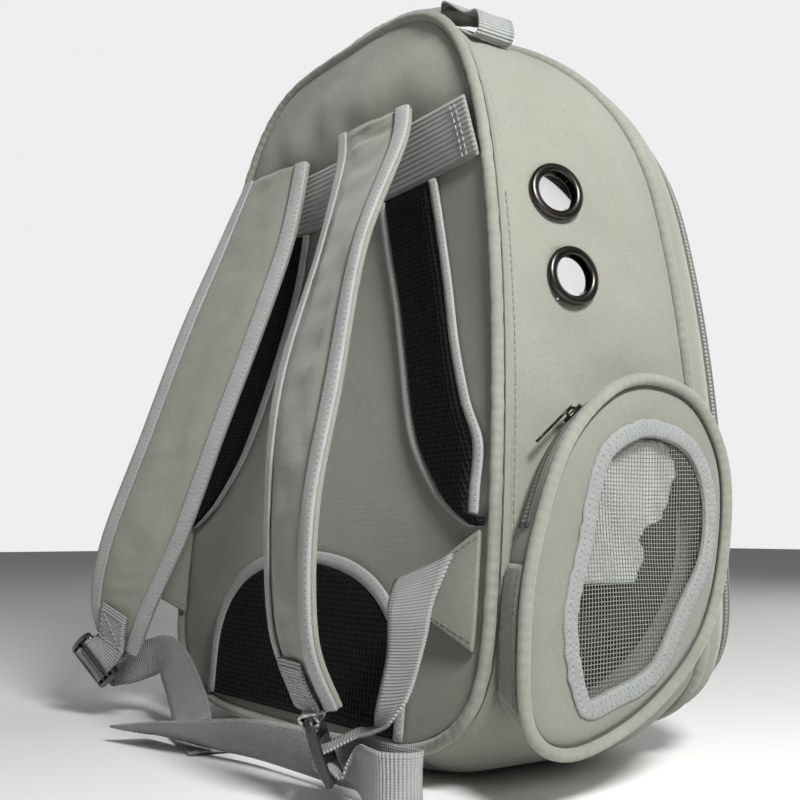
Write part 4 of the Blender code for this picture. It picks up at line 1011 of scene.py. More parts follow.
low_inner = low_arch(LOW_NET_HALF - EDGE_TAPE + 0.0006, LOW_NET_TOP - EDGE_TAPE + 0.0006, 36)
low_rows = []
for half, height in low_inner[:-1]:
    low_rows.append([on_back(half * (1.0 - step / 20), height, FACE_GAP + NET_PAD)
                     for step in range(41)][::-1])
low_rows = soft_edge(low_rows[::-1], 0.8 * NET_PAD)
cloth_piece("low_mesh", low_rows, NET_CLOTH, net_black, "low_net", slot_name="air_net")
arch_right = list(zip(low_arch(LOW_NET_HALF - EDGE_TAPE, LOW_NET_TOP - EDGE_TAPE, 36),
                      low_arch(LOW_NET_HALF, LOW_NET_TOP, 36)))
arch_pairs = [((-a[0], a[1]), (-b[0], b[1])) for a, b in arch_right] + arch_right[-2::-1]
low_tape_rows = []
for inner, outer in arch_pairs:
    low_tape_rows.append(taped_edge([(inner[0] + (outer[0] - inner[0]) * step / 6,
                                      inner[1] + (outer[1] - inner[1]) * step / 6)
                                     for step in range(7)]))
cloth_piece("low_mesh_binding", low_tape_rows, TAPE_THICKNESS, edge_tape, "low_net_tape",
            slot_name="grey_tape")


# Webbing band
# Ribbed grey webbing across the back, folded under at both ends, that carries the straps.
WEBBING = 0.0013
WEB_WIDTH = 0.025


def ribbed_webbing(name, colour, half, rib, lengthwise=False):
    """Heavy webbing: ribs across it or along it, a firm edge thread, melange yarn."""
    shade = Shade(name, colour, 0.7)
    shade.shader.inputs["Sheen Weight"].default_value = 0.15
    across, along = shade.cloth_place()
    ribs = shade.waves(across if lengthwise else along, rib)
    yarn = shade.waves(along if lengthwise else across, 0.0012)
    patch = shade.cloud(120.0, 3.0)
    away = shade.maths("SUBTRACT", shade.maths("ABSOLUTE", across), half - 0.0022)
    line = shade.maths("LESS_THAN", shade.maths("ABSOLUTE", away), 0.0004)
    base = shade.mix(shade.between(patch, -0.1, 1.1), tint(colour, 0.84),
                     tuple(min(1.0, 1.15 * c) for c in colour))
    # Painted shade: the hollows between the ribs are darkened.
    base = shade.mix(shade.between(ribs, 0.45, 0.0), base, tint(colour, 0.5))
    base = shade.mix(shade.maths("MULTIPLY", line, 0.5), base, tint(colour, 0.5))
    height = shade.maths("ADD", ribs, shade.maths("MULTIPLY", yarn, 0.25))
    return shade.finish(base, shade.between(patch, 0.6, 0.8), shade.bump(height, 0.0006))


BAND_GREY = (0.29, 0.30, 0.285)


def band_lift(level):
    """How far the band stands off the back, from its lower edge to its upper edge."""
    return FACE_GAP + SOFT_GAP + 0.5 * TOP_PUFF * level + WEBBING


band_webbing = ribbed_webbing("band_webbing", BAND_GREY, 0.018, rib=0.0030, lengthwise=True)
band_rows = []
for step in range(97):
    row = []
    for level_step in range(15):
        level = level_step / 14
        height = WEB_BAND_LOW + (WEB_BAND_HIGH - WEB_BAND_LOW) * level
        lift = band_lift(level) + 0.0006 * math.sin(math.pi * level)
        reach = back_half(height) - PIPING_RADIUS - 2.0 * GAP
        x = -reach + 2.0 * reach * step / 96
        row.append(on_back(x, height, lift))
    band_rows.append(row[::-1])
cloth_piece("shoulder_webbing", band_rows, WEBBING, band_webbing, "webbing_band",
            slot_name="grey_webbing", side=1.0)


# Shoulder straps
# Foam between sage cloth outside and mesh inside, the edges bound with stitched tape. They
# hang in a long curve from the band to their pointed ends.
STRAP_WIDTH = 0.066
STRAP_PAD = 0.008
STRAP_TAPE = 0.010
STRAP_TOP = 0.361
STRAP_END = 0.047
STRAP_SPREAD = 0.169
STRAP_STANDOFF = 0.075
STRAP_CREASE = 0.0018
LEFT_STRAP = (
    # drop from top to end, reach across and stand off as shares, twist, tilt, share of width
    (0.00, -0.350, 0.16, 8.0, 0.0, 1.00),
    (0.16, -0.376, 0.29, 21.0, 0.0, 1.00),
    (0.34, -0.414, 0.48, 27.0, 0.0, 1.00),
    (0.56, -0.515, 0.65, 27.0, 0.0, 1.00),
    (0.76, -0.640, 0.77, 29.0, 0.0, 1.00),
    (0.90, -0.768, 0.79, 22.0, -8.0, 0.85),
    (0.98, -0.825, 0.74, 20.0, -22.0, 0.62),
)
RIGHT_STRAP = (
    (0.00, 0.325, 0.15, 4.0, 0.0, 1.00),
    (0.08, 0.381, 0.24, 1.0, 0.0, 1.00),
    (0.28, 0.495, 0.59, -10.0, -6.0, 1.00),
    (0.52, 0.575, 0.87, -3.0, -5.0, 1.00),
    (0.72, 0.640, 1.00, -10.0, 0.0, 1.00),
    (0.90, 0.669, 0.95, -12.0, 0.0, 0.94),
    (1.00, 0.701, 0.77, -6.0, 0.0, 0.66),
)


def tilted(twist, tilt):
    """A direction turned from +X about the upright, then raised, in degrees."""
    level = math.cos(math.radians(tilt))
    return Vector((math.cos(math.radians(twist)) * level, math.sin(math.radians(twist)) * level,
                   math.sin(math.radians(tilt))))


def strap_frames(table, count):
    """[centre, across, outward, width] along a strap."""
    frames = []
    for drop, reach, stand, twist, tilt, wide in curve_places(table, count):
        height = STRAP_TOP - (STRAP_TOP - STRAP_END) * drop
        lift = max(0.0, stand) * STRAP_STANDOFF
        centre = Vector((reach * STRAP_SPREAD, back_seam(height) - lift, height))
        frames.append([centre, tilted(twist, tilt), None, wide * STRAP_WIDTH])
    for index, place in enumerate(frames):
        before = frames[max(0, index - 1)][0]
        after = frames[min(count - 1, index + 1)][0]
        place[2] = place[1].cross(after - before).normalized()
        if place[2].y > 0:
            place[2].negate()
    return frames


def pad_height(offset, half, tape_width):
    """Half the pad's thickness: firm bound edges, then a quilted rise to the middle."""
    from_edge = half - abs(offset)
    bead = min(1.0, max(0.0, from_edge / 0.004)) ** 0.5
    quilt = min(1.0, max(0.0, (from_edge - tape_width) / 0.012))
    return 0.5 * STRAP_PAD * (0.20 + 0.42 * bead + 0.36 * math.sin(0.5 * math.pi * quilt)), quilt


def closed_strip(name, sections, finish, *nodes, slot_name):
    """A closed skin through rings of points, capped at both ends, with UVs in metres."""
    mesh = welded(cloth_mesh(name, [ring + [ring[0]] for ring in sections]), capped=True)
    for face in mesh.polygons:
        face.use_smooth = True
    return add_piece(name, mesh, finish, *nodes, slot_name=slot_name)


strap_cloth = woven_cloth("strap_cloth", SAGE, crease=0.0026)
strap_tape = stitched_tape("strap_tape", TAPE_GREY, 0.5 * STRAP_TAPE)
strap_ends = {}
PAD_STEPS = 90
PAD_COLUMNS = 24
for label, table, seed in (("left", LEFT_STRAP, 3.0), ("right", RIGHT_STRAP, 11.0)):
    coarse = strap_frames(table, 16)
    pad_rings = []
    bindings = {"outer": [], "inner": []}
    for index, (centre, across, out, width) in enumerate(strap_frames(table, PAD_STEPS + 1)):
        drop = index / PAD_STEPS
        half = 0.5 * width
        tape_width = STRAP_TAPE * min(1.0, 2.0 * width / STRAP_WIDTH)
        ring = []
        for face in (1.0, -1.0):
            for step in range(PAD_COLUMNS + 1):
                share = face * (1.0 - 2.0 * step / PAD_COLUMNS)
                thick, quilt = pad_height(share * half, half, tape_width)
                if face > 0:
                    crease = noise.noise(Vector((share * 1.6, drop * 16.0, seed)))
                    cross = noise.noise(Vector((share * 0.8, drop * 34.0 + 0.4 * share, seed + 4.0)))
                    thick += STRAP_CREASE * quilt * (crease + 0.8 * cross)
                ring.append(centre + across * (share * half) + out * (face * thick))
        pad_rings.append(ring)
        for key, start in (("outer", -half), ("inner", half - tape_width)):
            row = []
            for step in range(9):
                offset = start + tape_width * (1.0 - step / 8)
                thick, _ = pad_height(offset, half, tape_width)
                row.append(centre + across * offset * 1.012 + out * (thick + 0.0007))
            bindings[key].append(row)
    pad = closed_strip(f"shoulder_strap_{label}", pad_rings, strap_cloth, f"strap_{label}",
                       slot_name="strap_fabric")
    for key, rows in bindings.items():
        cloth_piece(f"strap_binding_{label}_{key}", rows, TAPE_THICKNESS, strap_tape,
                    f"strap_tape_{label}_{key}", slot_name="grey_tape")
    down = (coarse[-1][0] - coarse[-3][0]).normalized()
    strap_ends[label] = (coarse[-1][0], coarse[-1][1], coarse[-1][2], down)


# Seam stitching
# Rows of short polyester thread stitches, each sunk at both ends, used wherever two layers
# are topstitched together.
def sew(name, lines, finish, slot_name, length=0.0030, space=0.0012, radius=0.00032):
    """Small rounded stitches, evenly spaced along lines of (point, outward direction)."""
    work = bmesh.new()
    for line in lines:
        run = 0.0
        goal = 0.5 * space
        for (start, out), (end, _) in zip(line, line[1:]):
            step = (end - start).length
            while step > 1e-6 and goal <= run + step:
                along = (end - start) / step
                centre = start + along * (goal - run)
                side = along.cross(out).normalized()
                rise = side.cross(along).normalized()
                loops = []
                for place, size in ((-0.5, 0.35), (-0.3, 0.9), (0.3, 0.9), (0.5, 0.35)):
                    ring = []
                    for turn in range(6):
                        angle = math.pi * turn / 3.0
                        offset = side * math.cos(angle) + rise * math.sin(angle)
                        ring.append(centre + along * (place * length) + offset * (size * radius))
                    loops.append(ring)
                skin(work, loops)
                goal += length + space
            run += step
    return add_piece(name, outward(bpy.data.meshes.new(name), work), finish, slot_name=slot_name)


def sewing_thread(name, colour):
    """Twisted polyester thread."""
    shade = Shade(name, colour, 0.6)
    twist = shade.cloud(2600.0, 2.0)
    base = shade.mix(shade.between(twist, 0.0, 1.0), tint(colour, 0.8), tint(colour, 1.15))
    return shade.finish(base, None, shade.bump(twist, 0.0001))


sage_thread = sewing_thread("sage_thread", (0.17, 0.176, 0.146))
grey_thread = sewing_thread("grey_thread", (0.40, 0.42, 0.40))
SEAM_COLUMN = 9  # the side wall's column beside the back piping, where the stitches show
seam_line = []
for row in side_rows[len(side_rows) // 2:]:
    point = row[SEAM_COLUMN]
    if 0.05 < point.z < 0.30 and point.x > 0.0997:
        seam_line.append((point + Vector((0.0003, -0.0001, 0.0)), Vector((0.95, -0.3, 0.0))))
sew("side_seam_stitches", [seam_line], sage_thread, "sage_fabric_side")
cuff_lines = []
for sign in (-1.0, 1.0):
    for inset in (0.009, 0.013):
        line = []
        for step in range(13):
            height = WEB_BAND_LOW + 0.003 + (WEB_BAND_HIGH - WEB_BAND_LOW - 0.006) * step / 12
            level = (height - WEB_BAND_LOW) / (WEB_BAND_HIGH - WEB_BAND_LOW)
            x = sign * (back_half(height) - PIPING_RADIUS - inset)
            line.append((on_back(x, height, band_lift(level) + 0.0009), Vector((0.0, -1.0, 0.0))))
        cuff_lines.append(line)
sew("shoulder_webbing_stitches", cuff_lines, grey_thread, "grey_webbing")


# Strap tabs
# Triangles of body cloth folded double over a stiffener, sewn in the back seams, topstitched
# near their edges, that carry the lower webbing.
TAB_THICKNESS = 0.0025
TAB_HEIGHT = 0.098
TAB_ROOT = 0.058
TABS = {
    # tip from the middle of the root, in root lengths, and twist and tilt of the tip's edge
    "left": ((0.02, -0.56, -0.22), 90.0, -30.0),
    "right": ((-0.56, -0.10, 0.00), 40.0, 65.0),
}


TAB_COLUMNS = 14


def tab_root(sign, level):
    """A place on a tab's sewn edge, by its level above the edge's middle."""
    height = TAB_HEIGHT + level * TAB_ROOT
    x = sign * (back_half(height) - 2.5 * PIPING_RADIUS)
    return on_back(x, height, GAP + 0.5 * TAB_THICKNESS)


def tab_places(label, sign):
    """A tab's sewn edge, its edge's upper third, its tip, and the direction of the tip's edge."""
    offset, twist, tilt = TABS[label]
    roots = [tab_root(sign, 0.5 - step / TAB_COLUMNS) for step in range(TAB_COLUMNS + 1)]
    upper = tab_root(sign, 0.17)
    lower = tab_root(sign, -0.17)
    tip = upper.lerp(lower, 0.5) + Vector(offset) * TAB_ROOT
    return roots, upper, tip, tilted(twist, tilt)


tab_cloth = woven_cloth("tab_cloth", SAGE, crease=0.0006)
tab_lines = []
for label, sign in (("left", -1.0), ("right", 1.0)):
    roots, _, tip, edge = tab_places(label, sign)
    rows = []
    for step in range(19):
        row = []
        for index, root in enumerate(roots):
            end = tip + edge * ((0.5 - index / TAB_COLUMNS) * WEB_WIDTH)
            row.append(root.lerp(end, step / 18))
        rows.append(row)
    across = rows[9][13] - rows[9][1]
    along = rows[17][7] - rows[1][7]
    out = along.cross(across).normalized()
    if out.y > 0:
        out.negate()
    puffed = []
    for i, row in enumerate(rows):
        new_row = []
        for j, point in enumerate(row):
            swelled = math.sin(math.pi * j / TAB_COLUMNS) * math.sin(math.pi * min(1.0, i / 16))
            new_row.append(point + out * (0.0007 * swelled))
        puffed.append(new_row)
    tab = cloth_piece(f"strap_tab_cloth_{label}", puffed, TAB_THICKNESS, tab_cloth,
                      f"strap_tab_{label}", slot_name="sage_fabric_tab", side=0.0)
    rim = tab.modifiers.new("rounded", "BEVEL")
    rim.width = 0.0008
    rim.segments = 2
    lift = out * (0.5 * TAB_THICKNESS + 0.0002)
    for column in (1, 13):
        tab_lines.append([(row[column] + lift, out) for row in puffed[1:-1]])
        tab_lines.append([(row[column] - lift, -out) for row in puffed[1:-1]])
sew("strap_tab_stitches", tab_lines, sage_thread, "sage_fabric_tab")


# Ladder locks
# Moulded black nylon frames, three slots and two inner bars each, on the strap ends. The
# side walls are deeper than the bars and bowed.
LOCK_WIDTH = 0.034
LOCK_HEIGHT = 0.032
LOCK_THICKNESS = 0.004
LOCK_BAR = 0.0035
SLOT_PLAY = 0.003
LOCKS = {
    "left": ((-0.011, -0.008, -0.008), (0.365, 0.514, -0.770), (0.824, -0.135, 0.550)),
    "right": ((-0.001, -0.003, -0.007), (0.788, -0.616, 0.0), (-0.200, -0.260, 0.940)),
}


def lock_seat(label, strap_end):
    """Where a lock lies, its top bar at the strap's end."""
    offset, across, up = LOCKS[label]
    across = Vector(across).normalized()
    out = across.cross(Vector(up)).normalized()
    seat = frame_matrix(strap_end[0] + Vector(offset), across, out)
    return seat @ Matrix.Translation((0.0, 0.5 * (LOCK_BAR - LOCK_HEIGHT), 0.0))


def moulded_bar(work, seat, places):
    """A rounded bar through (x, y, z, half height, half depth, lengthwise axis) places."""
    rings = []
    for x, y, z, tall, deep, along in places:
        ring = []
        for step in range(16):
            angle = 2.0 * math.pi * step / 16
            c = math.cos(angle)
            s = math.sin(angle)
            a = math.copysign(abs(c) ** 0.6, c) * tall
            b = math.copysign(abs(s) ** 0.6, s) * deep
            point = Vector((x, y + a, z + b)) if along == "x" else Vector((x + a, y, z + b))
            ring.append(seat @ point)
        rings.append(ring)
    skin(work, rings)


def moulded_nylon(name):
    """Black nylon, grained and a little scuffed."""
    shade = Shade(name, (0.016, 0.016, 0.017), 0.3)
    shade.shader.inputs["Coat Weight"].default_value = 0.25
    shade.shader.inputs["Coat Roughness"].default_value = 0.2
    grain = shade.cloud(1500.0, 2.0)
    scuff = shade.cloud(90.0, 5.0)
    base = shade.mix(shade.between(scuff, -0.6, 1.0), (0.012, 0.012, 0.013), (0.035, 0.035, 0.036))
    return shade.finish(base, shade.between(scuff, 0.24, 0.46), shade.bump(grain, 0.00006))


black_nylon = moulded_nylon("black_nylon")
lock_seats = {}
LOCK_PITCH = (LOCK_HEIGHT - LOCK_BAR) / 3.0  # from one bar to the next
for label in ("left", "right"):
    seat = lock_seat(label, strap_ends[label])
    lock_seats[label] = seat
    work = bmesh.new()
    reach = 0.5 * LOCK_WIDTH
    for index, bowed in enumerate((0.0005, 0.0, 0.0, -0.0005)):
        y = 0.5 * (LOCK_HEIGHT - LOCK_BAR) - index * LOCK_PITCH
        places = []
        for step in range(11):
            x = (reach - 0.0012) * (-1.0 + 0.2 * step)
            bow = bowed * (1.0 - (x / reach) ** 2)
            places.append((x, y + bow, 0.0, 0.5 * LOCK_BAR, 0.46 * LOCK_THICKNESS, "x"))
        moulded_bar(work, seat, places)
    for sign in (-1.0, 1.0):
        places = []
        for step in range(15):
            share = -1.0 + step / 7.0
            y = 0.5 * LOCK_HEIGHT * share
            round_end = math.sqrt(max(0.05, 1.0 - abs(share) ** 6))
            wall = 0.25 * (LOCK_WIDTH - WEB_WIDTH - SLOT_PLAY)
            x = sign * (reach - wall + 0.0006 * (1.0 - share ** 2))
            places.append((x, y, 0.0006 * (1.0 - share ** 2), wall * round_end * 1.05,
                           (0.5 * LOCK_THICKNESS + 0.0007 * (1.0 - share ** 2)) * round_end, "y"))
        moulded_bar(work, seat, places)
    lock_mesh = outward(bpy.data.meshes.new(f"moulded_lock_{label}"), work)
    add_piece(f"moulded_lock_{label}", lock_mesh, black_nylon, f"ladder_lock_{label}",
              slot_name="black_plastic")


# Strap end tabs
# Short webbing folded round each lock's top bar and box-stitched on the strap's end.
LOOP_LENGTH = 0.040
loose_webbing = ribbed_webbing("loose_webbing", TAPE_GREY, 0.5 * WEB_WIDTH, rib=0.0017)


def webbing_strip(name, places, finish, node, floor_level=None, steps=3, curl=0.0006):
    """Webbing through (centre, direction across, width) places, cupped; gives its rows."""
    flat = [(*centre, *side, width) for centre, side, width in places]
    rows = []
    for x, y, z, dx, dy, dz, width in curve_places(flat, steps * (len(flat) - 1) + 1):
        side = Vector((dx, dy, dz)).normalized()
        rows.append([Vector((x, y, z)) + side * (width * (0.5 - step / 8)) for step in range(9)])
    result = []
    for index, row in enumerate(rows):
        before = rows[max(0, index - 1)][4]
        after = rows[min(len(rows) - 1, index + 1)][4]
        out = (after - before).cross(row[0] - row[8])
        out = out.normalized() if out.length > 1e-9 else Vector((0.0, 0.0, 1.0))
        new_row = []
        for step, point in enumerate(row):
            moved = point + out * (curl * ((step - 4) / 4.0) ** 2)
            if floor_level is not None:
                moved.z = max(moved.z, floor_level)
            new_row.append(moved)
        result.append(new_row)
    cloth_piece(name, result, WEBBING, finish, node, slot_name="grey_webbing", side=0.0)
    return result


box_lines = []
for label in ("left", "right"):
    seat = lock_seats[label]
    centre, across, out, down = strap_ends[label]
    front = 0.5 * STRAP_PAD + SOFT_GAP + TAPE_THICKNESS + 2.0 * GAP + 0.5 * WEBBING
    behind = 0.5 * STRAP_PAD + SOFT_GAP + 0.5 * WEBBING
    lock_across = seat.to_3x3() @ Vector((1.0, 0.0, 0.0))
    top = 0.5 * LOCK_HEIGHT
    near_bar = 0.5 * LOCK_THICKNESS + GAP + 0.5 * WEBBING
    turn = 0.5 * WEBBING + 2.0 * GAP
    low = top - LOCK_BAR - turn
    places = [(centre - down * 0.6 * LOOP_LENGTH + out * (front - 0.0012), across, WEB_WIDTH),
              (centre - down * 0.5 * LOOP_LENGTH + out * (front - 0.0002), across, WEB_WIDTH),
              (centre - down * 0.25 * LOOP_LENGTH + out * front, across, WEB_WIDTH),
              (centre + out * front, across, WEB_WIDTH)]
    for up, away in ((top + SEAM_GAP, near_bar + SEAM_GAP), (low + turn, near_bar + GAP),
                     (low, 0.6 * near_bar), (low, -0.6 * near_bar), (low + turn, -near_bar - GAP),
                     (top, -near_bar)):
        places.append((seat @ Vector((0.0, up, away)), lock_across, WEB_WIDTH))
    places.append((centre + down * 2.0 * SEAM_GAP - out * 0.4 * behind, across, WEB_WIDTH))
    webbing_strip(f"lock_loop_{label}", places, loose_webbing, f"strap_end_tab_{label}", steps=4,
                  curl=0.0002)
    lift = out * (front + 0.5 * WEBBING + 0.0003)
    corners = []
    for u, v in ((-0.42, 0.04), (0.42, 0.04), (0.42, 0.52), (-0.42, 0.52), (-0.42, 0.04)):
        corners.append(centre + across * (u * WEB_WIDTH) - down * (v * LOOP_LENGTH) + lift)
    for start, end in zip(corners, corners[1:]):
        box_lines.append([(start.lerp(end, share / 6), out) for share in range(7)])
    box_lines.append([(corners[0].lerp(corners[2], share / 6), out) for share in range(7)])
    box_lines.append([(corners[1].lerp(corners[3], share / 6), out) for share in range(7)])
sew("lock_loop_stitches", box_lines, grey_thread, "grey_webbing", length=0.0026, space=0.0009)


# Lower webbing
# One ribbed strip a side: from the tab up to the lock, round its third bar and down to a loose
# end that lies on the floor, folded over and sewn at the tip.
LEGS = {
    # share of the way from tab to lock, bow in X and toward -Y in widths, twist, tilt
    "left": (
        (0.00, 0.00, 0.00, 90.0, -30.0),
        (0.50, -0.05, 0.05, 75.0, -38.0),
        (1.00, 0.00, 0.00, 54.6, -50.4),
    ),
    "right": (
        (0.00, 0.00, 0.10, 22.0, 22.0),
        (0.22, 0.14, 0.14, 24.0, 8.0),
        (0.47, 0.65, 0.20, 5.0, 5.0),
        (0.72, 1.14, 0.38, -2.0, 9.0),
        (0.83, 1.12, 0.35, -12.0, 12.0),
        (0.92, 0.88, 0.20, -25.0, 8.0),
        (1.00, 0.00, 0.00, -38.0, 0.0),
    ),
}
# How far the webbing comes out of the tab's fold, and how much it fans out there.
WEB_FOLDS = {"left": ((0.0, 0.0, 0.0), 0.0), "right": ((0.014, 0.001, 0.011), 0.4)}
TAILS = {
    # place from the lock's middle in widths, twist, tilt
    "left": (
        (-0.52, 0.42, -0.36, 54.6, -52.0),
        (-0.25, 0.95, -0.25, 54.6, -64.0),
        (0.40, 1.35, 0.00, 54.6, -80.0),
        (1.04, 1.50, 0.16, 54.6, -100.0),
        (1.70, 1.50, -0.04, 54.6, -128.0),
        (2.55, 1.40, -0.52, 54.6, -141.0),
        (3.45, 1.20, -1.00, 60.0, -152.0),
        (4.00, 1.02, -1.40, 70.0, -176.0),
        (5.00, 0.80, -1.50, 76.0, -180.0),
        (5.90, 0.60, -1.50, 78.0, -180.0),
    ),
    "right": (
        (0.22, 0.30, -0.52, -38.0, 8.0),
        (0.55, 0.34, -0.42, -45.0, 45.0),
        (1.00, 0.22, -0.30, -60.0, 78.0),
        (1.60, -0.04, -0.26, -80.0, 90.0),
        (2.15, -0.12, -0.24, -90.0, 90.0),
        (2.45, 0.22, -0.24, -90.0, 90.0),
        (2.20, 0.62, -0.28, -90.0, 90.0),
        (1.20, 0.72, -0.34, -90.0, 88.0),
        (0.20, 0.74, -0.38, -90.0, 86.0),
        (-1.20, 0.68, -0.44, -90.0, 80.0),
        (-2.80, 0.56, -0.50, -90.0, 72.0),
        (-4.00, 0.36, -0.60, -92.0, 58.0),
        (-5.20, 0.00, -0.70, -95.0, 42.0),
        (-6.40, -0.24, -0.80, -98.0, 30.0),
        (-8.00, -0.52, -0.90, -100.0, 12.0),
    ),
}
tip_lines = []
for label, sign, low in (("left", -1.0, GAP), ("right", 1.0, WEBBING + 2.0 * SEAM_GAP)):
    seat = lock_seats[label]
    _, upper_root, tip, _ = tab_places(label, sign)
    across = seat.to_3x3() @ Vector((1.0, 0.0, 0.0))
    entry = seat @ Vector((0.0, 0.0, -0.5 * LOCK_HEIGHT))
    start = tip + (tip - upper_root).normalized() * (3.0 * SEAM_GAP)
    start.y -= 3.0 * TAB_THICKNESS
    reach, fan = WEB_FOLDS[label]
    start += Vector(reach)
    places = []
    for share, bow, out, twist, tilt in curve_places(LEGS[label], 12):
        centre = start.lerp(entry, share)
        centre.x += bow * WEB_WIDTH
        centre.y -= out * WEB_WIDTH
        wider = 1.0 + fan * max(0.0, 1.0 - share / 0.2)
        places.append((centre, tilted(twist, tilt), wider * WEB_WIDTH))
    near_bar = 0.5 * LOCK_THICKNESS + GAP + 0.5 * WEBBING
    turn = 0.5 * WEBBING + 2.0 * GAP
    bar_low = -0.5 * (LOCK_PITCH + LOCK_BAR)
    bar_high = -0.5 * (LOCK_PITCH - LOCK_BAR)
    for up, away in ((bar_high + turn, -0.6 * near_bar), (bar_high + turn, 0.6 * near_bar),
                     (bar_high, near_bar + GAP), (bar_low, near_bar + GAP),
                     (bar_low - turn, 0.6 * near_bar), (bar_low - turn, -0.6 * near_bar)):
        places.append((seat @ Vector((0.0, up, away)), across, WEB_WIDTH))
    for x, y, z, twist, tilt in curve_places(TAILS[label], 26):
        centre = seat.translation + Vector((x, y, z)) * WEB_WIDTH
        side = tilted(twist, tilt)
        level = math.hypot(side.x, side.y)
        under = low + 0.5 * WEBBING * level + 0.5 * WEB_WIDTH * abs(side.z)
        centre.z = max(centre.z, under)
        places.append((centre, side, WEB_WIDTH))
    strip_rows = webbing_strip(f"lower_webbing_{label}", places, loose_webbing,
                               f"webbing_{label}", floor_level=0.5 * WEBBING, curl=0.0007)
    for back_step in (-2, -8):
        row = strip_rows[back_step]
        beside = strip_rows[back_step - 1]
        out = (row[4] - beside[4]).cross(row[0] - row[8]).normalized()
        for face in (1.0, -1.0):
            tip_lines.append([(point + out * (face * (0.5 * WEBBING + 0.0002)), out * face)
                              for point in row[1:-1]])
sew("webbing_tip_stitches", tip_lines, grey_thread, "grey_webbing", length=0.0022, space=0.0008)


# Side pouch
# A soft zipped pocket: a short wall sewn to the side, piping round its edge, and a face with
# a bound net window.
POUCH_WIDTH = 0.142
POUCH_HEIGHT = 0.176
POUCH_BACK = 0.005
POUCH_FOOT = 0.025
POUCH_FACE = 0.194
POUCH_TAPER = 0.88
POUCH_SKIN = 0.0015
POUCH_BULGE = 0.001
NET_TAPE = 0.009
POUCH_STEPS = 180
POUCH_OUTLINE = (
    # shares of the pouch's width from the back and of its height from the foot, going round
    (0.000, 0.300),
    (0.050, 0.530),
    (0.197, 0.800),
    (0.415, 0.960),
    (0.640, 1.000),
    (0.866, 0.940),
    (0.997, 0.753),
    (0.965, 0.478),
    (0.830, 0.253),
    (0.542, 0.080),
    (0.204, 0.000),
    (0.020, 0.073),
)
WINDOW_OUTLINE = (
    (0.160, 0.330),
    (0.235, 0.545),
    (0.297, 0.720),
    (0.385, 0.825),
    (0.590, 0.885),
    (0.820, 0.835),
    (0.925, 0.685),
    (0.900, 0.490),
    (0.755, 0.320),
    (0.610, 0.170),
    (0.400, 0.105),
    (0.225, 0.100),
)


def pouch_line(table):
    """A closed outline of (y, z) pairs from a table of shares."""
    count = len(table)
    pairs = []
    for index in range(POUCH_STEPS):
        at = count * index / POUCH_STEPS
        start = int(at)
        share = at - start
        a, b, c, d = (table[(start + step) % count] for step in (-1, 0, 1, 2))
        values = []
        for p, q, r, s in zip(a, b, c, d):
            bend = 2 * p - 5 * q + 4 * r - s
            turn = 3 * q - p - 3 * r + s
            values.append(q + 0.5 * share * (r - p + share * (bend + share * turn)))
        pairs.append((POUCH_BACK + values[0] * POUCH_WIDTH, POUCH_FOOT + values[1] * POUCH_HEIGHT))
    return pairs


side_tree = BVHTree.FromPolygons([vert.co + Vector((0.0, BASE_MIDDLE, 0.0))
                                  for vert in side_wall.data.vertices],
                                 [tuple(face.vertices) for face in side_wall.data.polygons])


def side_x(y, z):
    """How far out the side wall's cloth lies at a place."""
    hit = side_tree.ray_cast(Vector((1.0, y, z)), Vector((-1.0, 0.0, 0.0)))
    return hit[0].x if hit[0] else FRONT_HALF_WIDTH


WALL_SINK = 0.0006  # the wall's foot is sewn into the side's cloth


def pouch_wall(lift, shares, bulge=0.0):
    """Rows from the side out to the pouch's face, one for each place on its outline."""
    base = pouch_line(POUCH_OUTLINE)
    outer = inset_ring(base, -lift)
    unit = inset_ring(base, -1.0)
    middle_y = POUCH_BACK + 0.5 * POUCH_WIDTH
    middle_z = POUCH_FOOT + 0.5 * POUCH_HEIGHT
    end = POUCH_FACE - 0.5 * PIPING_RADIUS
    rows = []
    for index, ((y_out, z_out), (y_unit, z_unit), (y, z)) in enumerate(zip(outer, unit, base)):
        y_in = middle_y + (y_out - middle_y) * POUCH_TAPER
        z_in = middle_z + (z_out - middle_z) * POUCH_TAPER
        begin = side_x(y_in, z_in) - WALL_SINK
        row = []
        for share in shares:
            wave = 0.0008 * noise.noise(Vector((index * 0.16, share * 2.0, 5.0)))
            offset = (bulge + wave) * math.sin(math.pi * share)
            row.append(Vector((begin + (end - begin) * share,
                               y_in + (y_out - y_in) * share + (y_unit - y) * offset,
                               z_in + (z_out - z_in) * share + (z_unit - z) * offset)))
        rows.append(row)
    return rows


# Painted shade: the pouch's cloth is the body's sage tinted darker, for the shade on its
# downward-tilted face.
shaded_pouch_cloth = woven_cloth("shaded_pouch_cloth", tint(SAGE, 0.86), crease=0.0030)
cloth_piece("pouch_wall_cloth", pouch_wall(0.0, [step / 14 for step in range(15)], 0.0012),
            POUCH_SKIN, shaded_pouch_cloth, "pouch_wall", slot_name="pouch_fabric", ring=True, side=1.0)
pouch_rim = pouch_line(POUCH_OUTLINE)
smooth_tube("pouch_piping_cord", [Vector((POUCH_FACE, y, z)) for y, z in pouch_rim],
            PIPING_RADIUS, piping_finish, "pouch_piping", slot_name="piping_fabric")
window_line = pouch_line(WINDOW_OUTLINE)
window_hole = inset_ring(window_line, NET_TAPE)
SEAM_SINK = 0.0022
face_edge = inset_ring(pouch_rim, 0.6 * PIPING_RADIUS)
face_rows = []
for (y_in, z_in), (y_out, z_out) in zip(face_edge, window_hole):
    row = []
    for step in range(17):
        share = step / 16
        y = y_in + (y_out - y_in) * share
        z = z_in + (z_out - z_in) * share
        rise = math.sin(0.5 * math.pi * min(1.0, 2.2 * share))
        wave = 0.0007 * noise.noise(Vector((y * 28.0, z * 28.0, 2.0))) * math.sin(math.pi * share)
        row.append(Vector((POUCH_FACE - SEAM_SINK + (POUCH_BULGE + SEAM_SINK) * rise + wave, y, z)))
    face_rows.append(row)
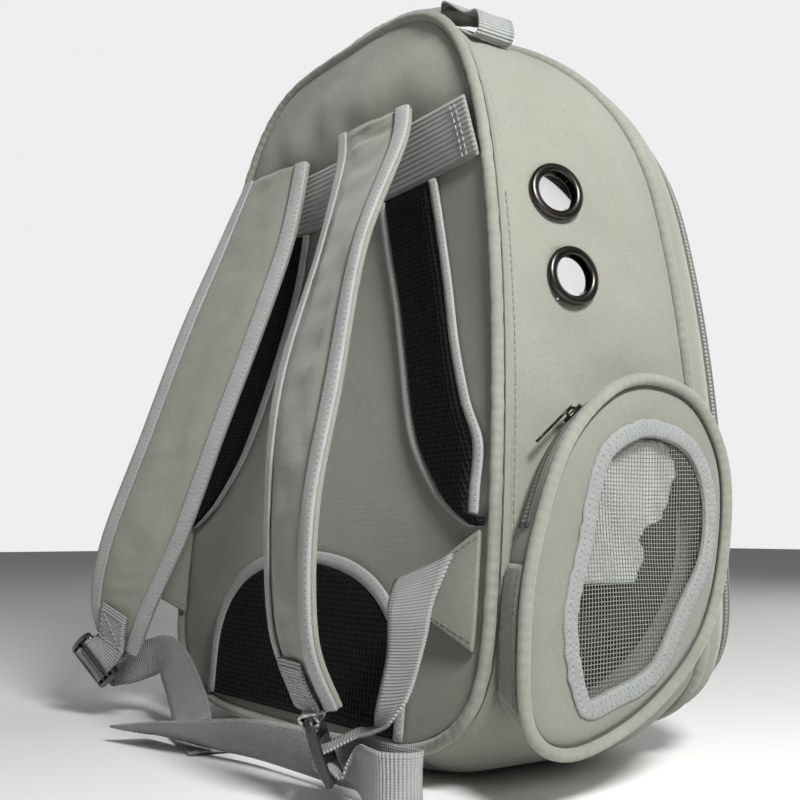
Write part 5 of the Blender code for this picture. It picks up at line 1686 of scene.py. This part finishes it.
cloth_piece("pouch_face_cloth", face_rows, POUCH_SKIN, shaded_pouch_cloth, "pouch_face",
            slot_name="pouch_fabric", ring=True, side=1.0)
# Painted shadow: near-black cords lie sunk beside the piping, here and along the back seam.
SHADOW_LINE_RADIUS = 0.00045
groove_shadow = sewing_thread("groove_shadow_paint", (0.055, 0.057, 0.048))
smooth_tube("pouch_groove_shadow", [Vector((POUCH_FACE + 0.0002, y, z))
                                  for y, z in inset_ring(pouch_rim, 1.12 * PIPING_RADIUS)],
            SHADOW_LINE_RADIUS, groove_shadow, slot_name="pouch_fabric")
for label, sign in (("right", 1.0), ("left", -1.0)):
    groove = [row[1] + Vector((0.0005 * sign, 0.0, 0.0002)) for row in side_rows
              if row[1].x * sign > 0.0]
    smooth_tube(f"back_groove_shadow_{label}", groove, SHADOW_LINE_RADIUS, groove_shadow,
                slot_name="sage_fabric_side", closed=False)
window_tape = stitched_tape("window_tape_cloth", (0.25, 0.262, 0.254), 0.4 * NET_TAPE)
tape_rows = []
for index in range(POUCH_STEPS):
    ruffle = noise.noise(Vector((index * 0.55, 3.0, 1.0)))
    ruck = noise.noise(Vector((index * 0.9, 7.0, 2.0)))
    y_in, z_in = inset_ring(window_line, -0.0004 + 0.0012 * ruffle)[index]
    y_out, z_out = inset_ring(window_line, NET_TAPE + 0.0009 * ruck)[index]
    row = []
    for step in range(9):
        share = step / 8
        lift = POUCH_FACE + POUCH_BULGE + 0.0005 + TAPE_THICKNESS * math.sin(math.pi * share) ** 0.4
        lift += 0.0005 * math.sin(math.pi * share) * (ruck + 0.6 * math.sin(index * 1.3 + 4.0 * share))
        row.append(Vector((lift, y_in + (y_out - y_in) * share, z_in + (z_out - z_in) * share)))
    tape_rows.append(row)
cloth_piece("window_binding", tape_rows, 0.0011, window_tape, "window_tape",
            slot_name="grey_tape", ring=True, side=1.0)


# Net window
# Knitted net with square openings, its threads crossing at knots, over a loose pale lining
# that covers the back part of the pocket. A near-black sheet behind both is painted shade.
def crossings(outline, value, axis):
    """Where a level line crosses a closed outline, in pairs from one side to the other."""
    found = []
    for start, end in zip(outline, outline[1:] + outline[:1]):
        a = start[axis] - value
        b = end[axis] - value
        if (a > 0.0) != (b > 0.0):
            share = a / (a - b)
            found.append(start[1 - axis] + (end[1 - axis] - start[1 - axis]) * share)
    return sorted(found)


def knitted_thread(name, colour):
    """Dark polyester yarn with a visible twist."""
    shade = Shade(name, colour, 0.6)
    twist = shade.cloud(1800.0, 2.0)
    base = shade.mix(shade.between(twist, -0.2, 1.2), tint(colour, 0.7), tint(colour, 1.25))
    return shade.finish(base, None, shade.bump(twist, 0.0002))


NET_PITCH = 0.0020
THREAD_HALF = 0.00024
THREAD_DEEP = 0.00020
THREAD_SECTION = ((1, 0.2), (0.5, 1), (-0.5, 1), (-1, 0.2), (-0.5, -1), (0.5, -1))
net_edge = inset_ring(window_line, 0.6 * NET_TAPE)
net_x = POUCH_FACE + POUCH_BULGE - POUCH_SKIN - SOFT_GAP - 0.0004
net_work = bmesh.new()


def net_place(axis, value, place):
    """A place on a sagging thread that runs at one value of y (axis 0) or z (axis 1)."""
    sag = 0.0006 * math.sin(place * 60.0 + value * 40.0)
    level = (value + sag, place) if axis == 0 else (place, value + sag)
    return Vector((net_x + sag, *level))


def net_thread(start, end):
    """A short straight length of thread, closed at both ends."""
    side = Vector((1.0, 0.0, 0.0)).cross((end - start).normalized())
    section = [side * a * THREAD_HALF + Vector((b * THREAD_DEEP, 0.0, 0.0))
               for a, b in THREAD_SECTION]
    skin(net_work, [[point + place for place in section] for point in (start, end)], smooth=False)


for axis in (0, 1):
    values = [pair[axis] for pair in net_edge]
    value = min(values) + 0.5 * NET_PITCH
    while value < max(values):
        spots = crossings(net_edge, value, axis)
        for low_spot, high_spot in zip(spots[::2], spots[1::2]):
            count = max(2, int((high_spot - low_spot) / (1.5 * NET_PITCH)))
            for step in range(count):
                net_thread(*(net_place(axis, value, low_spot + (high_spot - low_spot) * at / count)
                             for at in (step, step + 1)))
        value += NET_PITCH
net_mesh = outward(bpy.data.meshes.new("knitted_net"), net_work)
add_piece("knitted_net", net_mesh, knitted_thread("net_thread", (0.19, 0.20, 0.175)), "window_net",
          slot_name="grey_net")

LINING_GREY = (0.62, 0.64, 0.61)
SHEET = 0.0006
lining_cloth = woven_cloth("lining_cloth", LINING_GREY, pitch=0.0006, crease=0.0005)
lining_x = net_x - 0.0034
LINING_EDGE = (
    # share of the lining's height from its foot, and its free edge as a share of the window
    (0.00, 0.52),
    (0.18, 0.56),
    (0.30, 0.50),
    (0.36, 0.52),
    (0.45, 0.64),
    (0.62, 0.74),
    (0.80, 0.84),
    (1.01, 0.85),
)
lining_rows = []
for step in range(61):
    share = step / 60
    knot = max(index for index, (low, _) in enumerate(LINING_EDGE) if low <= share)
    (low, edge_low), (high, edge_high) = LINING_EDGE[knot:knot + 2]
    ease = (share - low) / (high - low)
    free_edge = edge_low + (edge_high - edge_low) * ease * ease * (3.0 - 2.0 * ease)
    z = POUCH_FOOT + POUCH_HEIGHT * (0.43 + 0.40 * share)
    spots = crossings(net_edge, z, 1)
    left = spots[0] + 0.004
    right = min(spots[-1] - 0.004, spots[0] + free_edge * (spots[-1] - spots[0])
                + 0.0005 * math.sin(61.0 * share))
    row = []
    for column in range(31):
        y = left + (right - left) * column / 30
        fold = 0.0012 * math.sin(y * 190.0 + 3.0 * share)
        fold += 0.0010 * noise.noise(Vector((y * 40.0, z * 30.0, 8.0)))
        row.append(Vector((lining_x + fold - 0.001 * share, y, z)))
    lining_rows.append(row)
cloth_piece("pouch_lining_sheet", lining_rows, SHEET, lining_cloth, "pouch_lining",
            slot_name="lining")
# Painted shade: a near-black sheet on the side wall stands for the dark inside of the pocket.
painted_pocket_shade = woven_cloth("painted_pocket_shade", (0.012, 0.0125, 0.011), pitch=0.0008, crease=0.0009,
                           sheen=0.0)
pocket_edge = inset_ring(pouch_rim, 0.016)
pocket_rows = []
for step in range(41):
    z = POUCH_FOOT + POUCH_HEIGHT * (0.10 + 0.80 * step / 40)
    spots = crossings(pocket_edge, z, 1)
    row = []
    for column in range(25):
        y = spots[0] + (spots[-1] - spots[0]) * column / 24
        row.append(Vector((side_x(y, z) + 0.0016, y, z)))
    pocket_rows.append(row)
cloth_piece("pouch_pocket_shade_sheet", pocket_rows, SHEET, painted_pocket_shade, slot_name="lining")


# Pouch zipper, flap, slider and puller
# A coil zipper over the pouch's upper wall with a flap below it, a dark metal slider and a
# long flat bar for a puller.
SLIDER_LENGTH = 0.011
SLIDER_WIDTH = 0.007
SLIDER_THICKNESS = 0.003
PULLER_LENGTH = 0.030
PULLER_WIDTH = 0.0045
PULLER_THICKNESS = 0.0014
zip_rows = pouch_wall(SOFT_GAP + TAPE_THICKNESS, [0.30 + 0.36 * step / 10 for step in range(11)],
                      0.0006)[18:85]
pouch_zip = zipper_cloth("pouch_zipper_tape", ZIP_COLOUR, 0.0, 0.0016)
cloth_piece("pouch_zipper_coil", zip_rows, TAPE_THICKNESS, pouch_zip, "pouch_zipper",
            slot_name="zipper_tape", side=1.0)
flap_whole = pouch_wall(SOFT_GAP + POUCH_SKIN, [0.12 + 0.74 * step / 12 for step in range(13)],
                        0.0010)
flap_rows = flap_whole[-12:] + flap_whole[:13]
cloth_piece("pouch_zipper_flap", flap_rows, POUCH_SKIN, shaded_pouch_cloth, "pouch_flap",
            slot_name="pouch_fabric", side=1.0)
flap_lines = []
for column, beside in ((1, 2), (11, 10)):
    line = []
    for before, row in zip(flap_rows, flap_rows[1:]):
        out = (row[beside] - row[column]).cross(row[column] - before[column]).normalized()
        if out.y > 0:
            out.negate()
        line.append((row[column] + out * 0.0003, out))
    flap_lines.append(line)
sew("pouch_flap_stitches", flap_lines, sage_thread, "pouch_fabric")

seat_rows = pouch_wall(SOFT_GAP + TAPE_THICKNESS + 1.5 * GAP, (0.30, 0.48, 0.66))
near_row = seat_rows[36]
after_row = seat_rows[42]
along = (after_row[1] - near_row[1]).normalized()
normal = (near_row[2] - near_row[0]).cross(along).normalized()
if normal.z < 0:
    normal.negate()
slider_seat = frame_matrix(near_row[1].lerp(after_row[1], 0.5) + normal * (0.5 * SLIDER_THICKNESS),
                           along, normal)
slider_work = bmesh.new()
plate = []
for step in range(9):
    share = -1.0 + step / 4.0
    wide = 0.5 * SLIDER_WIDTH * (0.72 + 0.28 * math.cos(0.5 * math.pi * share) ** 0.7)
    plate.append((0.5 * SLIDER_LENGTH * share, 0.0, -0.0004, wide, 0.0011, "x"))
moulded_bar(slider_work, slider_seat, plate)
bridge = []
for step in range(11):
    angle = math.pi * step / 10
    bridge.append((0.0032 * math.cos(angle), 0.0, 0.0004 + 0.0016 * math.sin(angle),
                   0.0010, 0.0005, "x"))
moulded_bar(slider_work, slider_seat, bridge)
slider_mesh = outward(bpy.data.meshes.new("zip_slider"), slider_work)
add_piece("zip_slider", slider_mesh, gunmetal, "pouch_slider", slot_name="gunmetal")

puller_seat = slider_seat @ Matrix.Translation((0.25 * SLIDER_LENGTH - 0.5 * PULLER_LENGTH, 0.0,
                                                0.5 * (SLIDER_THICKNESS + PULLER_THICKNESS) + GAP))
puller_work = bmesh.new()
bar_places = []
for step in range(15):
    share = step / 14
    wide = 0.5 * PULLER_WIDTH * (0.78 + 0.22 * math.cos(math.pi * share))
    wide *= min(1.0, 0.35 + 5.0 * share)
    bar_places.append((share * 0.62 * PULLER_LENGTH - 0.5 * PULLER_LENGTH, 0.0, 0.0, wide,
                       0.5 * PULLER_THICKNESS, "x"))
moulded_bar(puller_work, puller_seat, bar_places)
loop_middle = Vector((0.31 * PULLER_LENGTH, 0.0, 0.0))
loop_rings = []
for step in range(25):
    angle = 2.0 * math.pi * step / 24
    reach = Vector((0.0052 * math.cos(angle), 0.0021 * math.sin(angle), 0.0))
    aim = reach.normalized()
    ring = []
    for turn in range(8):
        wire = aim * (0.0007 * math.cos(turn * math.pi / 4))
        wire.z += 0.0006 * math.sin(turn * math.pi / 4)
        ring.append(puller_seat @ (loop_middle + reach + wire))
    loop_rings.append(ring)
skin(puller_work, loop_rings, capped=False)
bmesh.ops.remove_doubles(puller_work, verts=puller_work.verts, dist=1e-6)
puller_mesh = outward(bpy.data.meshes.new("zip_puller"), puller_work)
add_piece("zip_puller", puller_mesh, gunmetal, "pouch_puller", slot_name="gunmetal")


# Carry handle
# Ribbed webbing folded and sewn to the top at both ends, its middle wrapped in gathered cloth.
HANDLE_SPAN = 0.236
HANDLE_RISE = 0.014
HANDLE_PLACE = 0.053
HANDLE_BOW = 0.012
GRIP_LENGTH = 0.176
GRIP_RADIUS = 0.006
GRIP_CREST = 0.0125
GRIP_STEPS = 140
HANDLE_TUCK = 0.016  # the webbing's width where it goes into the grip


def top_face(x):
    """The height of the bag's top under the handle, x from its middle."""
    low = SHOULDER_HEIGHT
    high = HEIGHT
    for _ in range(40):
        middle = 0.5 * (low + high)
        y_back = back_seam(middle)
        share = (HANDLE_PLACE - y_back) / (front_depth(middle) - y_back)
        half = back_half(middle) + (front_half(middle) - back_half(middle)) * share
        if half > abs(x):
            low = middle
        else:
            high = middle
    return low


foot = 0.5 * HANDLE_SPAN
grip = 0.5 * GRIP_LENGTH
handle_seat = top_face(foot) + SEAM_GAP
crest = HEIGHT + GRIP_CREST
grip_start = top_face(grip) + 3.0 * SEAM_GAP + GRIP_RADIUS
fold = handle_seat + HANDLE_BOW + 0.5 * HANDLE_RISE
handle_line = [(grip - 0.004, grip_start + 0.0015), (grip + 0.004, grip_start + 0.004),
               (foot - 0.008, fold), (foot + 0.003, fold - 0.003),
               (foot + 0.005, handle_seat + 0.5 * HANDLE_BOW), (foot, handle_seat + 0.003),
               (foot - 0.012, top_face(foot - 0.012) + 2.0 * SEAM_GAP)]
for label, sign in (("left", -1.0), ("right", 1.0)):
    places = [(Vector((sign * x, HANDLE_PLACE, z)), Vector((0.0, sign, 0.0)),
               WEB_WIDTH if index else HANDLE_TUCK)
              for index, (x, z) in enumerate(handle_line)]
    webbing_strip(f"handle_webbing_strip_{label}", places, loose_webbing,
                  f"handle_webbing_{label}", steps=6, curl=0.0003)
grip_cloth = woven_cloth("grip_cloth", SAGE, crease=0.0009)
grip_rings = []
grip_line = []
for step in range(21):
    share = -1.0 + step / 10
    grip_line.append((share * grip, grip_start + (crest - grip_start) * (1.0 - share ** 2)))
grip_line = [(-(foot - 0.010), fold)] + grip_line + [(foot - 0.010, fold)]
grip_path = curve_places(grip_line, GRIP_STEPS + 1)
for step in range(GRIP_STEPS + 1):
    share = 2.0 * step / GRIP_STEPS - 1.0
    centre = Vector((grip_path[step][0], HANDLE_PLACE, grip_path[step][1]))
    before = grip_path[max(0, step - 1)]
    after = grip_path[min(GRIP_STEPS, step + 1)]
    along = Vector((after[0] - before[0], 0.0, after[1] - before[1])).normalized()
    side = Vector((0.0, 1.0, 0.0))
    rise = along.cross(side) * -1.0
    ring = []
    for turn in range(32):
        angle = 2.0 * math.pi * turn / 32
        gather = noise.noise(Vector((share * 30.0, 2.2 * math.cos(angle), 2.2 * math.sin(angle))))
        ridge = math.sin(share * 95.0 + 2.5 * math.sin(angle) + 4.0 * gather)
        size = GRIP_RADIUS * (0.96 + 0.07 * gather + 0.045 * ridge)
        size *= 1.0 - 0.35 * max(0.0, (abs(share) - 0.86) / 0.14) ** 2
        flare = 1.15 + 0.75 * max(0.0, (abs(share) - 0.80) / 0.20) ** 2
        ring.append(centre + side * (math.cos(angle) * size * flare)
                    + rise * (math.sin(angle) * size * 0.92))
    grip_rings.append(ring)
closed_strip("handle_grip_cloth", grip_rings, grip_cloth, "handle_grip", slot_name="grip_fabric")
